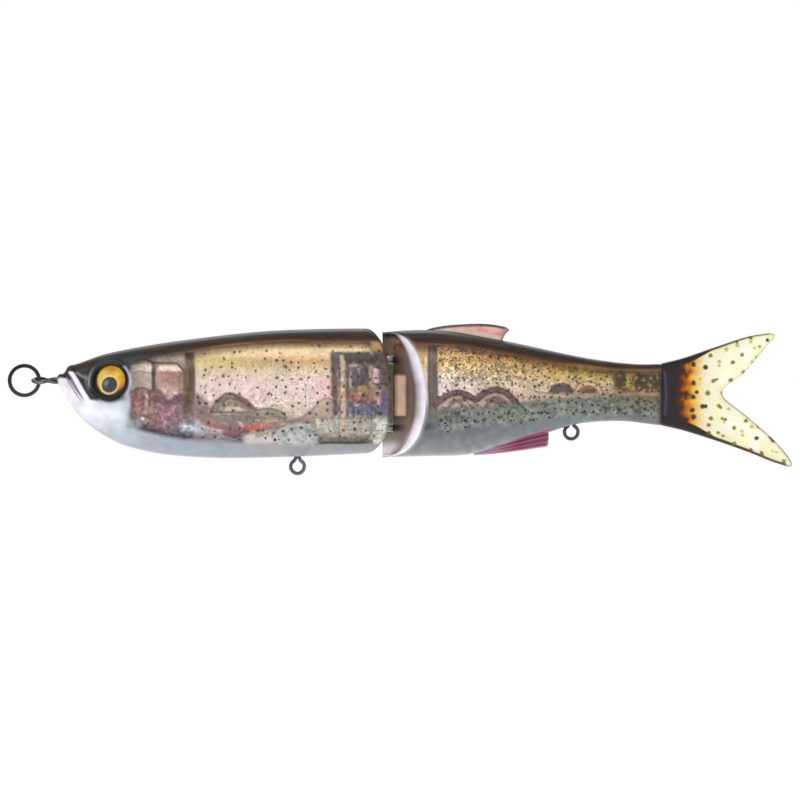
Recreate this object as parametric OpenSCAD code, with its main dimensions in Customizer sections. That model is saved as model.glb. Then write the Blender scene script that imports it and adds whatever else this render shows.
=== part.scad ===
// Two-piece glide swimbait: clear shell halves over printed foils, one vertical hinge, soft forked tail.
// The origin is the centre of the line tie's eye. +X runs to the tail, +Z to the back, +Y to the right flank.

/* [Body] */
// Wall of the shell halves
wall = 1.8; // [1.5:0.1:2]
// Gap between a shell's inner face and its printed foil
foil_gap = 0.15; // [0.1:0.05:0.3]
// Thickness of a printed foil
foil_t = 0.4; // [0.3:0.05:0.5]
// Thickness of the back fin and the belly fin
fin_t = 1.2; // [0.8:0.1:1.6]

/* [Hinge] */
// Distance of the hinge pin behind the line tie
hinge_x = 90.5; // [90.3:0.1:90.7]
// Radius of the hinge pin
pin_r = 0.9; // [0.7:0.05:0.9]
// Running clearance between the pin and a hinge eye, on the radius
pin_clearance = 0.06; // [0.02:0.01:0.09]
// Barrel radius of a hinge eye
eye_barrel_r = 2; // [1.8:0.1:2]
// Thickness of a hinge eye
hinge_eye_t = 1.8; // [1.4:0.1:2]
// Width of a hinge eye's arm
arm_w = 2.4; // [2:0.1:2.6]
// Height of the upper hinge eye
upper_eye_z = 5.2; // [5:0.1:5.8]
// Height of the lower hinge eye
lower_eye_z = -11.9; // [-12:0.1:-11]
// Swing of the rear section each way
swing = 35; // [20:1:36]
// Clearance of a hinge eye in its slot
slot_gap = 0.35; // [0.3:0.05:0.4]

/* [Wire] */
// Diameter of the stainless wire
wire_d = 0.9; // [0.8:0.05:1]
// Radius of the coined hole of a wire eye
loop_hole_r = 1.3; // [1.2:0.05:1.4]
// Distance between the two legs of a wire eye
leg_pitch = 0.7; // [0.6:0.05:0.8]
// Tilt of the line tie's eye about the lure's length
tie_tilt = 17; // [0:1:20]
// Outer radius of the split ring
ring_outer_r = 4.2; // [4:0.05:4.3]
// Radial width of the split ring's wire
ring_w = 0.95; // [0.8:0.05:1]
// Thickness of one coil of the split ring
coil_t = 0.5; // [0.4:0.05:0.5]

/* [Eyes] */
// Radius of an eye
eye_r = 4.4; // [4:0.1:4.5]
// Depth of an eye socket below the flank
socket_depth = 1.2; // [1:0.1:1.3]
// Thickness of the printed eye disc
disc_t = 0.5; // [0.3:0.1:0.6]
// Height of the clear dome over the disc
dome_h = 1.7; // [1.2:0.1:2]

/* [Tail] */
// Distance of the seam between the hard body and the soft tail behind the line tie
seam_x = 156.9; // [156.5:0.1:157.2]
// Half thickness of the tail at its root
tail_root_half = 3.4; // [3:0.1:3.4]
// Gap between the hard body and the soft tail
tail_gap = 0.3; // [0.2:0.05:0.4]

/* [Hidden] */
$fn = 48;

// Colours
clear = [0.85, 0.78, 0.7];
pearl = [0.8, 0.75, 0.78];
foil = [0.9, 0.78, 0.62];
steel = [0.55, 0.55, 0.58];
lead = [0.4, 0.4, 0.42];
black_nickel = [0.15, 0.15, 0.16];
pink = [0.85, 0.6, 0.62];
amber = [0.9, 0.75, 0.35];

// Side outlines as [x, z] and half widths as [x, y], through which smooth curves run
front_top = [[4.4, 1.9], [6.7, 3.4], [9, 4.1], [16.7, 6.7], [29, 9.1], [43, 11], [56.5, 12.4],
    [68, 12.9], [80, 13.1], [89, 12.9]];
front_bottom = [[4.4, -0.6], [5.5, -2.6], [6.9, -4.9], [9.8, -8.8], [13.5, -12], [18, -14.8],
    [22.5, -16.7], [31.6, -18.6], [45, -19.5], [60, -19.3], [75, -18.7], [89, -17.9]];
front_half = [[4.4, 1.4], [6.5, 3.1], [10, 5.1], [16, 7.4], [24, 9.1], [36, 10.3], [52, 10.8],
    [70, 10.9], [89, 10.7]];
rear_top = [[86, 12.1], [92, 12.6], [98, 12.7], [104, 12.3], [112, 10.9], [120, 9.4], [130, 7.2],
    [138, 5.6], [146, 4.5], [152, 4.1], [158, 4.3]];
rear_bottom = [[86, -19.3], [98, -19], [106, -18.8], [111, -18], [116, -16.4], [122, -14.6],
    [128, -13.1], [134, -11.2], [141, -10.3], [148, -10.3], [153, -10.9], [158, -11.5]];
rear_half = [[86, 10.6], [98, 10.5], [106, 9.9], [114, 8.9], [122, 7.7], [130, 6.4], [138, 5.2],
    [146, 4.3], [152, 3.8], [158, 3.6]];
dorsal_outline = [[104, 10.2], [96.6, 11.2], [97.4, 12.9], [100.5, 13.6], [105, 14.1], [110, 14.3],
    [114, 14.1], [117.4, 13.4], [118.2, 12.7], [117.4, 11.8], [116.6, 11], [116.2, 8]];
anal_outline = [[110, -16.6], [109, -18.9], [114, -18.6], [120, -17.9], [125, -17.1],
    [127.6, -16.7], [128, -15.6], [128.1, -13.6], [129.4, -11], [119, -13.8]];
tail_upper = [[156.9, 4.4], [162, 5.7], [170, 8.4], [178, 11], [183.4, 11.9]];
tail_lower = [[156.9, -11.4], [162, -12.6], [170, -15.1], [178, -17.9], [184, -20.3], [187.4, -21.4]];
tail_rear_edge = [[188.7, -21.7], [189.4, -21.1], [188.6, -19.4], [186.6, -16.9], [184, -14.2],
    [180.8, -11.4], [177.4, -8.5], [174.4, -6.2], [172.4, -4.5], [171.8, -3.1], [172.4, -1.8],
    [174.4, -0.2], [177.4, 2], [180.8, 6], [183, 8.6], [185, 10.9], [184.6, 11.8]];

// Section ends: a cupped notch at the back of the front section, a rounded wedge on the rear one
nose_x = 4.4;
notch_x = 81.7;
notch_slope = 0.76;
wedge_x = 86.3;
wedge_slope = 1.18;
end_round = 1.5;
wedge_wall = 1.9;
notch_wall = 2;
nose_wall = 4.2;
rear_end_x = seam_x - tail_gap;

// Section shape: under 1 is slab-sided, fuller than an ellipse, and the lean makes the back narrower
fullness = 0.68;
lean = 0.06;

// Mesh of the body skins
stations = 26;
columns = 16;
cap_rows = 4;
crowding = 1.25;

// Wire work and hinge, derived
wire_r = wire_d / 2;
loop_r = loop_hole_r + wire_r - 0.05;
channel_r = leg_pitch / 2 + wire_r + 0.05;
tie_anchor_x = 12.6;
front_hanger = [64.9, -21.7];
rear_hanger = [133.8, -13];
front_anchor_z = -14.6;
rear_anchor_z = -6.6;
post_r = loop_hole_r - 0.1;
tie_post = 4.8;
front_post = 7.6;
rear_post = 4.6;
ring_x = -3.85;
arm_reach = hinge_x - 74.5;
slot_half = arm_w / 2 + slot_gap;
slot_reach = 7;
boss_r = 1.5;

// Eye seat: centre on the flank, and the direction that the eye looks in
eye_centre = [17.9, -7.45, -0.25];
eye_pitch = 78;
eye_yaw = -13;

// Tail hinge line, in the middle of the flexing root
tail_axis_x = seam_x + tail_root_half;
plug_h = 6.5;
tongue_x = 149;
tongue_half = 1.8;

// ---- Smooth curve through points: cubic segments with averaged slopes ----
function span(p, x, i = 0) = i >= len(p) - 2 || x <= p[i + 1][0] ? i : span(p, x, i + 1);
function rise(p, i, j) = (p[j][1] - p[i][1]) / (p[j][0] - p[i][0]);
function slope(p, i) = i == 0 ? rise(p, 0, 1)
    : i == len(p) - 1 ? rise(p, i - 1, i)
    : rise(p, i - 1, i + 1);
function blend(a, b, sa, sb, h, t) = (1 + 2 * t) * (1 - t) * (1 - t) * a
    + t * (1 - t) * (1 - t) * h * sa + t * t * (3 - 2 * t) * b + t * t * (t - 1) * h * sb;
function curve(p, x) = let (i = span(p, x), h = p[i + 1][0] - p[i][0])
    blend(p[i][1], p[i + 1][1], slope(p, i), slope(p, i + 1), h, (x - p[i][0]) / h);
function mix(a, b, t) = a + (b - a) * t;
function along(p, n) = [for (i = [0:n])
    let (x = mix(p[0][0], p[len(p) - 1][0], i / n)) [x, curve(p, x)]];

// ---- Body skins: a body is [top, bottom, half width, start face, end face] ----
function bend(y) = sqrt(y * y + end_round * end_round) - end_round;
function wedge(y) = wedge_x + wedge_slope * bend(y);
function notch(y) = notch_x + notch_slope * bend(y);
function face(k, y) = k == "nose" ? nose_x
    : k == "notch" ? notch(y)
    : k == "wedge" ? wedge(y)
    : rear_end_x;
front = [front_top, front_bottom, front_half, "nose", "notch"];
rear = [rear_top, rear_bottom, rear_half, "wedge", "end"];

// A point of a body's skin at angle a from the back, moved inwards by t
function skin_y(b, x, a, t) = (curve(b[2], x) - t) * pow(sin(a), fullness) * (1 - lean * cos(a));
function skin_z(b, x, a, t) = let (hi = curve(b[0], x) - t, lo = curve(b[1], x) + t)
    (hi + lo) / 2 + (hi - lo) / 2 * cos(a);
function skin_x(b, u, a, t, e, x, n) = let (y = skin_y(b, x, a, t))
    n == 0 ? x
    : skin_x(b, u, a, t, e, mix(face(b[3], y) + e[0], face(b[4], y) - e[1], u), n - 1);
function skin_row(b, u, angles, t, e) = [for (a = angles)
    let (x = skin_x(b, u, a, t, e, mix(face(b[3], 0) + e[0], face(b[4], 0) - e[1], u), 3))
    [x, -skin_y(b, x, a, t), skin_z(b, x, a, t)]];
function cap_row(b, row, k, t, which, shift) = [for (p = row)
    [face(b[which], k * p[1]) + shift, k * p[1], p[2]]];
function skin(b, t, e) = let (
        angles = [for (j = [0:columns]) 180 * j / columns],
        rows = [for (i = [0:stations]) skin_row(b, pow(i / stations, crowding), angles, t, e)],
        caps = [for (k = [0:cap_rows - 1]) k / cap_rows])
    concat([for (k = caps) cap_row(b, rows[0], k, t, 3, e[0])], rows,
        [for (i = [cap_rows - 1:-1:0]) cap_row(b, rows[stations], caps[i], t, 4, -e[1])]);

// Closed solid between two skins that have the same rows, joined along their edges
function tri(p, a, b, c) = p[a] == p[b] || p[b] == p[c] || p[a] == p[c] ? [] : [[a, c, b]];
function quad(p, a, b, c, d) = concat(tri(p, a, b, c), tri(p, a, c, d));
function flat(l) = [for (s = l) each s];
module between(outer, inner) {
    n = len(outer);
    m = len(outer[0]);
    p = concat(flat(outer), flat(inner));
    o = n * m;
    faces = concat(
        flat([for (i = [0:n - 2], j = [0:m - 2]) let (k = i * m + j)
            concat(quad(p, k, k + 1, k + m + 1, k + m),
                quad(p, o + k, o + k + m, o + k + m + 1, o + k + 1))]),
        flat([for (i = [0:n - 2]) let (k = i * m, e = k + m - 1)
            concat(quad(p, k, k + m, o + k + m, o + k),
                quad(p, e, o + e, o + e + m, e + m))]),
        flat([for (j = [0:m - 2]) let (e = (n - 1) * m + j)
            concat(quad(p, j, o + j, o + j + 1, j + 1),
                quad(p, e, e + 1, o + e + 1, o + e))]));
    polyhedron(points = p, faces = faces, convexity = 6);
}

module half_shell(b, ends) {
    between(skin(b, 0, [0, 0]), skin(b, wall, ends));
}

// Printed foil: a strip of the skin from near the back to near the belly
module foil_sheet(b, ends) {
    angles = [for (j = [0:10]) mix(32, 152, j / 10)];
    depth = wall + foil_gap;
    between([for (i = [0:16]) skin_row(b, i / 16, angles, depth, ends)],
        [for (i = [0:16]) skin_row(b, i / 16, angles, depth + foil_t, ends)]);
}

// Printed foil with the hole that the shell's hanger post passes through
module drilled_foil(b, ends, x, z) {
    difference() {
        foil_sheet(b, ends);
        translate([x, 0, z]) rotate([90, 0, 0]) cylinder(r = post_r + 0.15, h = 14);
    }
}

module right_side() {
    mirror([0, 1, 0]) children();
}

// Peg across the body that a wire's inner eye sits on
module post(x, z, reach) {
    translate([x, 0, z]) rotate([90, 0, 0]) cylinder(r = post_r, h = reach);
}

// ---- Wire eyes ----
module wire_loop() {
    rotate_extrude() difference() {
        translate([loop_r, 0]) circle(wire_r);
        translate([0, -wire_d]) square([loop_hole_r, 2 * wire_d]);
    }
}

// Wire bent into two eyes joined by a double leg along +X, the second eye turned by the given angle
module wire_hanger(length, turn) {
    difference() {
        union() {
            wire_loop();
            translate([length, 0, 0]) rotate([turn, 0, 0]) wire_loop();
            for (s = [-1, 1]) translate([loop_r, s * leg_pitch / 2, 0]) rotate([0, 90, 0])
                cylinder(r = wire_r, h = length - 2 * loop_r);
        }
        for (x = [0, length]) translate([x, 0, 0]) rotate([x == 0 ? 0 : turn, 0, 0])
            cylinder(r = loop_hole_r, h = wire_d, center = true);
    }
}

module wire_channel(length) {
    rotate([0, 90, 0]) cylinder(r = channel_r, h = length);
}

// ---- Hinge ----
module hinge_eye(z, bored = true) {
    translate([hinge_x, 0, z - hinge_eye_t / 2]) difference() {
        union() {
            cylinder(r = eye_barrel_r, h = hinge_eye_t);
            translate([-arm_reach, -arm_w / 2, 0]) cube([arm_reach, arm_w, hinge_eye_t]);
        }
        if (bored) translate([0, 0, -1])
            cylinder(r = pin_r + pin_clearance, h = hinge_eye_t + 2);
    }
}

// Room that a hinge eye sweeps in the rear section
module hinge_slot(z) {
    far = [for (a = [-swing, swing], s = [-1, 1])
        [-slot_reach * cos(a) - s * slot_half * sin(a), -slot_reach * sin(a) + s * slot_half * cos(a)]];
    height = hinge_eye_t + 2 * slot_gap;
    translate([hinge_x, 0, z - height / 2]) {
        cylinder(r = eye_barrel_r + slot_gap, h = height);
        linear_extrude(height) {
            for (a = [-swing, 0, swing]) rotate(a) translate([-slot_reach, -slot_half])
                square([slot_reach, 2 * slot_half]);
            polygon([[0, 0], far[0], far[1], far[2], far[3]]);
        }
    }
}

module hinge_slots() {
    hinge_slot(upper_eye_z);
    hinge_slot(lower_eye_z);
}

// ---- Eyes ----
module at_eye() {
    translate(eye_centre) rotate([eye_pitch, 0, eye_yaw]) children();
}

// ---- Front section ----
module front_half_shell() {
    difference() {
        union() {
            half_shell(front, [nose_wall, notch_wall]);
            post(tie_anchor_x, 0, tie_post);
            post(front_hanger[0], front_anchor_z, front_post);
        }
        wire_channel(tie_anchor_x - loop_r);
        translate([front_hanger[0], 0, front_hanger[1]]) rotate([0, -90, 0])
            wire_channel(front_anchor_z - front_hanger[1] - loop_r);
        at_eye() translate([0, 0, -socket_depth]) cylinder(r = eye_r + 0.1, h = 6);
        hinge_eye(upper_eye_z, false);
        hinge_eye(lower_eye_z, false);
    }
}

module front_shell_left() {
    color(clear) front_half_shell();
}

module front_shell_right() {
    color(clear) right_side() front_half_shell();
}

module front_foil() {
    drilled_foil(front, [18.5, 4], front_hanger[0], front_anchor_z);
}

module front_foil_left() {
    color(foil) front_foil();
}

module front_foil_right() {
    color(foil) right_side() front_foil();
}

module front_hinge_block() {
    color(pearl) difference() {
        union() {
            translate([72.5, -3.2, -8.5]) cube([7, 6.4, 17]);
            translate([70, -5, -14.6]) cube([9.5, 10, 6.2]);
        }
        hinge_eye(upper_eye_z, false);
        hinge_eye(lower_eye_z, false);
    }
}

module upper_hinge_eye() {
    color(steel) hinge_eye(upper_eye_z);
}

module lower_hinge_eye() {
    color(steel) hinge_eye(lower_eye_z);
}

module nose_weight() {
    color(lead) translate([26.6, 0, -9.7]) sphere(r = 4);
}

// Cast bar whose lower corners are bevelled to lie in the belly
module belly_bar(x, z, length, half, height) {
    translate([x, 0, z]) rotate([90, 0, 90]) linear_extrude(length)
        polygon([[-half, height], [half, height], [half, height * 0.45], [half - 2, 0],
            [2 - half, 0], [-half, height * 0.45]]);
}

module front_belly_weight() {
    color(lead) belly_bar(34, -16.2, 26, 6, 6);
}

module line_tie() {
    color(steel) rotate([tie_tilt, 0, 0]) wire_hanger(tie_anchor_x, 90 - tie_tilt);
}

module line_ring() {
    color(black_nickel) translate([ring_x, 0, 0]) rotate([90, 0, 0]) rotate_extrude()
        for (s = [-1, 1]) translate([ring_outer_r - ring_w / 2, s * (coil_t / 2 - 0.01)]) {
            square([ring_w - coil_t, coil_t], center = true);
            for (e = [-1, 1]) translate([e * (ring_w - coil_t) / 2, 0]) circle(coil_t / 2);
        }
}

module hook_hanger(place, anchor_z) {
    translate([place[0], 0, place[1]]) rotate([90, -90, 0]) wire_hanger(anchor_z - place[1], 0);
}

module front_hook_hanger() {
    color(steel) hook_hanger(front_hanger, front_anchor_z);
}

module eye_disc_left() {
    color("gold") at_eye() translate([0, 0, -socket_depth]) cylinder(r = eye_r, h = disc_t);
}

module eye_disc_right() {
    color("gold") right_side() at_eye() translate([0, 0, -socket_depth]) cylinder(r = eye_r, h = disc_t);
}

// Clear lens: the cap of a sphere, with its rim at the eye's radius
module eye_dome() {
    ball_r = (eye_r * eye_r + dome_h * dome_h) / (2 * dome_h);
    at_eye() translate([0, 0, disc_t - socket_depth]) intersection() {
        cylinder(r = eye_r, h = dome_h + 1);
        translate([0, 0, dome_h - ball_r]) sphere(r = ball_r);
    }
}

module eye_dome_left() {
    color("lightcyan") eye_dome();
}

module eye_dome_right() {
    color("lightcyan") right_side() eye_dome();
}

// ---- Rear section ----
module fin(outline) {
    translate([0, fin_t / 2, 0]) rotate([90, 0, 0]) linear_extrude(fin_t) polygon(outline);
}

// Tongue of the tail that is locked in the rear section's socket, grown by g, and longer at the back by more
module tail_tongue(g = 0, more = 0) {
    translate([tongue_x - g, -tongue_half - g, -plug_h / 2 - 1 - g])
        cube([rear_end_x - tongue_x + g + more, 2 * (tongue_half + g), plug_h + 2 * g]);
}

module rear_half_shell() {
    difference() {
        union() {
            half_shell(rear, [wedge_wall, wall]);
            post(rear_hanger[0], rear_anchor_z, rear_post);
        }
        hinge_slots();
        translate([rear_hanger[0], 0, rear_hanger[1]]) rotate([0, -90, 0])
            wire_channel(rear_anchor_z - rear_hanger[1] - loop_r);
        translate([rear_hanger[0], 0, rear_hanger[1]]) rotate([90, 0, 0])
            cylinder(r = loop_r + wire_r + 0.08, h = wire_d + 0.16, center = true);
        fin(dorsal_outline);
        fin(anal_outline);
        tail_tongue(0.05, 1);
    }
}

module rear_shell_left() {
    color(clear) rear_half_shell();
}

module rear_shell_right() {
    color(clear) right_side() rear_half_shell();
}

module rear_foil() {
    drilled_foil(rear, [4.5, 12], rear_hanger[0], rear_anchor_z);
}

module rear_foil_left() {
    color(foil) rear_foil();
}

module rear_foil_right() {
    color(foil) right_side() rear_foil();
}

module rear_hinge_block() {
    color(pearl) difference() {
        translate([hinge_x, 0, -14.8]) {
            cylinder(r = boss_r, h = 23.4);
            linear_extrude(23.4) polygon([[0, boss_r - 0.1], [3.5, 3.4], [8.5, 3.4], [8.5, -3.4],
                [3.5, -3.4], [0, 0.1 - boss_r]]);
        }
        hinge_slots();
        translate([hinge_x, 0, -20]) cylinder(r = pin_r + 0.01, h = 40);
    }
}

module hinge_pin() {
    color(steel) translate([hinge_x, 0, -15.6]) {
        cylinder(r = pin_r, h = 24.2);
        translate([0, 0, 24.2]) cylinder(r = pin_r + 0.4, h = 0.7);
    }
}

module rear_belly_weight() {
    color(lead) belly_bar(100, -15.4, 10, 4, 5);
}

module rear_hook_hanger() {
    color(steel) hook_hanger(rear_hanger, rear_anchor_z);
}

module dorsal_fin() {
    color(pink) fin(dorsal_outline);
}

module anal_fin() {
    color("maroon") fin(anal_outline);
}

// ---- Soft tail ----
// Side outline of the tail: over the top, round both lobes, and back along the bottom
function reversed(l) = [for (i = [len(l) - 1:-1:0]) l[i]];
function mirrored(l) = [for (p = reversed(l)) [p[0], -p[1]]];
function tail_side() = concat(along(tail_upper, 8), reversed(tail_rear_edge),
    reversed(along(tail_lower, 8)));

module tail_root() {
    color(amber) tail_tongue();
}

module tail_fin() {
    half = [[tail_axis_x, tail_root_half - 0.05], [166, 2.7], [172, 2], [181, 1.2], [190, 0.7]];
    color(amber) intersection() {
        translate([0, 10, 0]) rotate([90, 0, 0]) linear_extrude(20) polygon(tail_side());
        translate([0, 0, -30]) {
            translate([tail_axis_x, 0, 0]) cylinder(r = tail_root_half, h = 60);
            linear_extrude(60) polygon(concat(half, mirrored(half)));
        }
    }
}

front_shell_left();
front_shell_right();
front_foil_left();
front_foil_right();
front_hinge_block();
upper_hinge_eye();
lower_hinge_eye();
nose_weight();
front_belly_weight();
line_tie();
line_ring();
front_hook_hanger();
eye_disc_left();
eye_disc_right();
eye_dome_left();
eye_dome_right();
rear_shell_left();
rear_shell_right();
rear_foil_left();
rear_foil_right();
rear_hinge_block();
hinge_pin();
rear_belly_weight();
rear_hook_hanger();
dorsal_fin();
anal_fin();
tail_root();
tail_fin();
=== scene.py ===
import math

import bmesh
import bpy
import numpy as np
from mathutils import Matrix, Vector
from mathutils.kdtree import KDTree


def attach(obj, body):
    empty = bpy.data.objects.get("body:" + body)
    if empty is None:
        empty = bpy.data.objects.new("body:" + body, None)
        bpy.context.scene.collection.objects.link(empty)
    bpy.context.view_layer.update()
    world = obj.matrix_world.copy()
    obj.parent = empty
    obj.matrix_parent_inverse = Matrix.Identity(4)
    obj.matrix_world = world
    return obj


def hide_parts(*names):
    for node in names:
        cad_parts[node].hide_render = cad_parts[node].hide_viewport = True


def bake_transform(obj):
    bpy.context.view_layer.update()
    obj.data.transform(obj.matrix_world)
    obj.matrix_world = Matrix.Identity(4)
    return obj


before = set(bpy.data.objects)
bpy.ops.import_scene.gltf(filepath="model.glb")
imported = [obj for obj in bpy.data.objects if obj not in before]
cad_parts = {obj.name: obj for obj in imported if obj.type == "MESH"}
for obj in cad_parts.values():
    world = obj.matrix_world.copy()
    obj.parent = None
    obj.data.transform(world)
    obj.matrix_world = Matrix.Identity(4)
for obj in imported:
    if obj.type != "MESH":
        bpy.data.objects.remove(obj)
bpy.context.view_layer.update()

MM = 0.001
WELD = 1e-4 * MM
WHITE = (1, 1, 1, 1)
SIDES = (("left", 1), ("right", -1))

# ---------------------------------------------------------------- outlines, in millimetres, as in the CAD

FRONT_TOP = [(4.4, 1.0), (4.75, 1.5), (5.4, 1.85), (6.1, 1.95), (6.6, 2.55), (7.05, 3.4), (7.7, 3.85),
             (8.6, 4.0), (10, 4.4), (16.7, 6.7), (29, 9.1), (43, 11), (56.5, 12.4), (68, 12.9), (80, 13.1),
             (89, 12.9)]
FRONT_BOTTOM = [(4.4, 0.1), (4.75, -0.8), (5.5, -2.6), (6.9, -4.9), (9.8, -8.8), (13.5, -12), (18, -14.8),
                (22.5, -16.7), (31.6, -18.6), (45, -19.5), (60, -19.3), (75, -18.7), (89, -17.9)]
FRONT_HALF = [(4.4, 0.7), (4.75, 1.35), (5.4, 2.2), (6.5, 3.1), (10, 5.1), (16, 7.4), (24, 9.1),
              (36, 10.3), (52, 10.8), (70, 10.9), (89, 10.7)]
REAR_TOP = [(86, 12.1), (92, 12.6), (98, 12.7), (104, 12.3), (112, 10.9), (120, 9.4), (130, 7.2),
            (138, 5.6), (146, 4.5), (152, 4.1), (158, 4.3)]
REAR_BOTTOM = [(86, -19.3), (98, -19), (106, -18.8), (111, -18), (116, -16.4), (122, -14.6),
               (128, -13.1), (134, -11.2), (141, -10.3), (148, -10.3), (153, -10.9), (158, -11.5)]
REAR_HALF = [(86, 10.6), (98, 10.5), (106, 9.9), (114, 8.9), (122, 7.7), (130, 6.4), (138, 5.2),
             (146, 4.3), (152, 3.8), (158, 3.6)]
TAIL_UPPER = [(156.62, 4.35), (162, 5.7), (170, 8.4), (178, 11), (183.4, 11.9)]
TAIL_LOWER = [(156.62, -11.35), (162, -12.6), (170, -15.1), (178, -17.9), (184, -20.3), (187.4, -21.4)]
TAIL_REAR = [(183.4, 11.9), (184.6, 11.8), (185, 10.9), (183, 8.6), (180.8, 6), (177.4, 2), (174.4, -0.2),
             (172.4, -1.8), (171.8, -3.1), (172.4, -4.5), (174.4, -6.2), (177.4, -8.5), (180.8, -11.4),
             (184, -14.2), (186.6, -16.9), (188.6, -19.4), (189.4, -21.1), (188.7, -21.7), (187.4, -21.4)]
DORSAL_TOP = [(96.9, 12.0), (97.4, 12.8), (100.5, 13.6), (105, 14.1), (110, 14.3), (114, 14.1),
              (117.2, 13.5), (118.2, 12.8)]
DORSAL_BASE = [(97.2, 11.0), (104, 10.6), (110, 9.6), (114, 9.2), (116.3, 9.4), (116.6, 10.4),
               (117.1, 11.5), (118.2, 12.7)]
ANAL_BASE = [(109.2, -18.4), (112, -16.4), (118, -14.4), (124, -12.8), (128.1, -12.4)]
ANAL_EDGE = [(109.4, -18.8), (114, -18.55), (120, -17.85), (125, -17.1), (127.7, -16.6), (128.1, -15.4)]

HINGE_X = 90.5
WEDGE_X, WEDGE_SLOPE = 86.3, 1.18
NOTCH_X, NOTCH_SLOPE = 81.7, 0.76
END_ROUND = 1.5
FULLNESS, LEAN = 0.68, 0.06
WALL = 1.8
REAR_END = 156.6
TAIL_ROOT_X = 156.62
SHELL_COLUMNS = 140
EYE_CENTRE = Vector((17.9, -7.45, -0.25))
EYE_R = 4.4
UPPER_EYE_Z, LOWER_EYE_Z = 5.2, -11.9
PLATE_HALF, SLOT_HALF = 0.9, 0.99
FRONT_HANGER, REAR_HANGER = (64.9, -21.7), (133.8, -13.0)
WIRE_R = 0.45
RING_X, RING_R = -3.85, 3.72
HINGE_AXIS = Matrix.Translation((HINGE_X, 0, 0))


def mix(a, b, t):
    return a + (b - a) * t


def smooth(low, high, v):
    t = np.clip((v - low) / (high - low), 0, 1)
    return t * t * (3 - 2 * t)


def bump(v, width):
    return np.exp(-(v / width) ** 2)


def curve(points):
    """Smooth curve through points: cubic segments with averaged slopes, as in the CAD."""
    x, v = np.array(points, float).T
    rise = np.diff(v) / np.diff(x)
    s = np.concatenate([rise[:1], (v[2:] - v[:-2]) / (x[2:] - x[:-2]), rise[-1:]])

    def at(q):
        i = np.clip(np.searchsorted(x, q) - 1, 0, len(x) - 2)
        h = x[i + 1] - x[i]
        t = (q - x[i]) / h
        return ((1 + 2 * t) * (1 - t) ** 2 * v[i] + t * (1 - t) ** 2 * h * s[i]
                + t * t * (3 - 2 * t) * v[i + 1] + t * t * (t - 1) * h * s[i + 1])
    return at


def bend(y):
    return np.sqrt(y * y + END_ROUND ** 2) - END_ROUND


class Section:
    """One hard body: its outlines, and its end faces as functions of the distance from the middle."""

    def __init__(self, top, bottom, half, start, end):
        self.top, self.bottom, self.half = curve(top), curve(bottom), curve(half)
        self.start, self.end = start, end

    def at(self, x, a, t):
        high, low = self.top(x) - t, self.bottom(x) + t
        y = (self.half(x) - t) * np.clip(np.sin(a), 0, 1) ** FULLNESS * (1 - LEAN * np.cos(a))
        return y, (high + low) / 2 + (high - low) / 2 * np.cos(a)

    def skin(self, u, a, t=0.0, ends=(0, 0)):
        """Left skin moved in by t, one row a station, one column an angle from the back."""
        u, a = np.meshgrid(u, a, indexing="ij")
        y = 0 * u
        for _ in range(4):
            x = mix(self.start(y) + ends[0], self.end(y) - ends[1], u)
            y, z = self.at(x, a, t)
        return np.stack([x, -y, z], -1)

    def capped(self, rows, levels, shifts):
        """Rows with the caps that close both ends, and each row's share of the full width."""
        def cap(row, k, face, shift):
            y = k * row[:, 1]
            return np.stack([face(y) + shift, y, row[:, 2]], -1)
        first = [cap(rows[0], k, self.start, shifts[0]) for k in levels[0]]
        last = [cap(rows[-1], k, self.end, -shifts[1]) for k in levels[1][::-1]]
        part = np.concatenate([np.full(len(first), 1), np.zeros(len(rows)), np.full(len(last), 2)])
        share = np.concatenate([levels[0], np.ones(len(rows)), levels[1][::-1]])
        return np.concatenate([first, rows, last]), part, share


front = Section(FRONT_TOP, FRONT_BOTTOM, FRONT_HALF, lambda y: 4.4 + 0 * y,
                lambda y: NOTCH_X + NOTCH_SLOPE * bend(y))
rear = Section(REAR_TOP, REAR_BOTTOM, REAR_HALF, lambda y: WEDGE_X + WEDGE_SLOPE * bend(y),
               lambda y: REAR_END + 0 * y)


def stations(edges, steps):
    """Shares of the length from 0 to 1, close together where the steps are small."""
    x = [np.arange(a, b, s) for a, b, s in zip(edges, edges[1:], steps)]
    x = np.concatenate(x + [[edges[-1]]])
    return (x - x[0]) / (x[-1] - x[0])


def angles(n):
    s = np.linspace(0, 1, n)
    return np.pi * (s - 0.06 * np.sin(2 * np.pi * s))


def outward(grid, part=None, section=None):
    """Unit normals of a left skin. On the ends they come from the end faces."""
    n = -np.cross(np.gradient(grid, axis=0), np.gradient(grid, axis=1))
    if section:
        y = grid[..., 1]
        for code, sign, face in ((1, -1, section.start), (2, 1, section.end)):
            slope = (face(y + 0.01) - face(y - 0.01)) / 0.02
            flat = np.stack([sign + 0 * y, -sign * slope, 0 * y], -1)
            n = np.where((part == code)[..., None], flat, n)
    return n / np.maximum(np.linalg.norm(n, axis=-1, keepdims=True), 1e-9)


# ---------------------------------------------------------------- distances in the side view

def distance(x, z, line):
    best = np.full(np.shape(x), 1e9)
    for (ax, az), (bx, bz) in zip(line, line[1:]):
        dx, dz = bx - ax, bz - az
        t = np.clip(((x - ax) * dx + (z - az) * dz) / (dx * dx + dz * dz + 1e-12), 0, 1)
        best = np.minimum(best, np.hypot(x - ax - t * dx, z - az - t * dz))
    return best


def signed(x, z, outline):
    """Distance to a closed outline, below zero inside it."""
    closed = list(outline) + [outline[0]]
    inside = np.zeros(np.shape(x), bool)
    for (ax, az), (bx, bz) in zip(closed, closed[1:]):
        if az != bz:
            inside ^= ((az > z) != (bz > z)) & (x < ax + (z - az) * (bx - ax) / (bz - az))
    d = distance(x, z, closed)
    return np.where(inside, -d, d)


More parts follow.
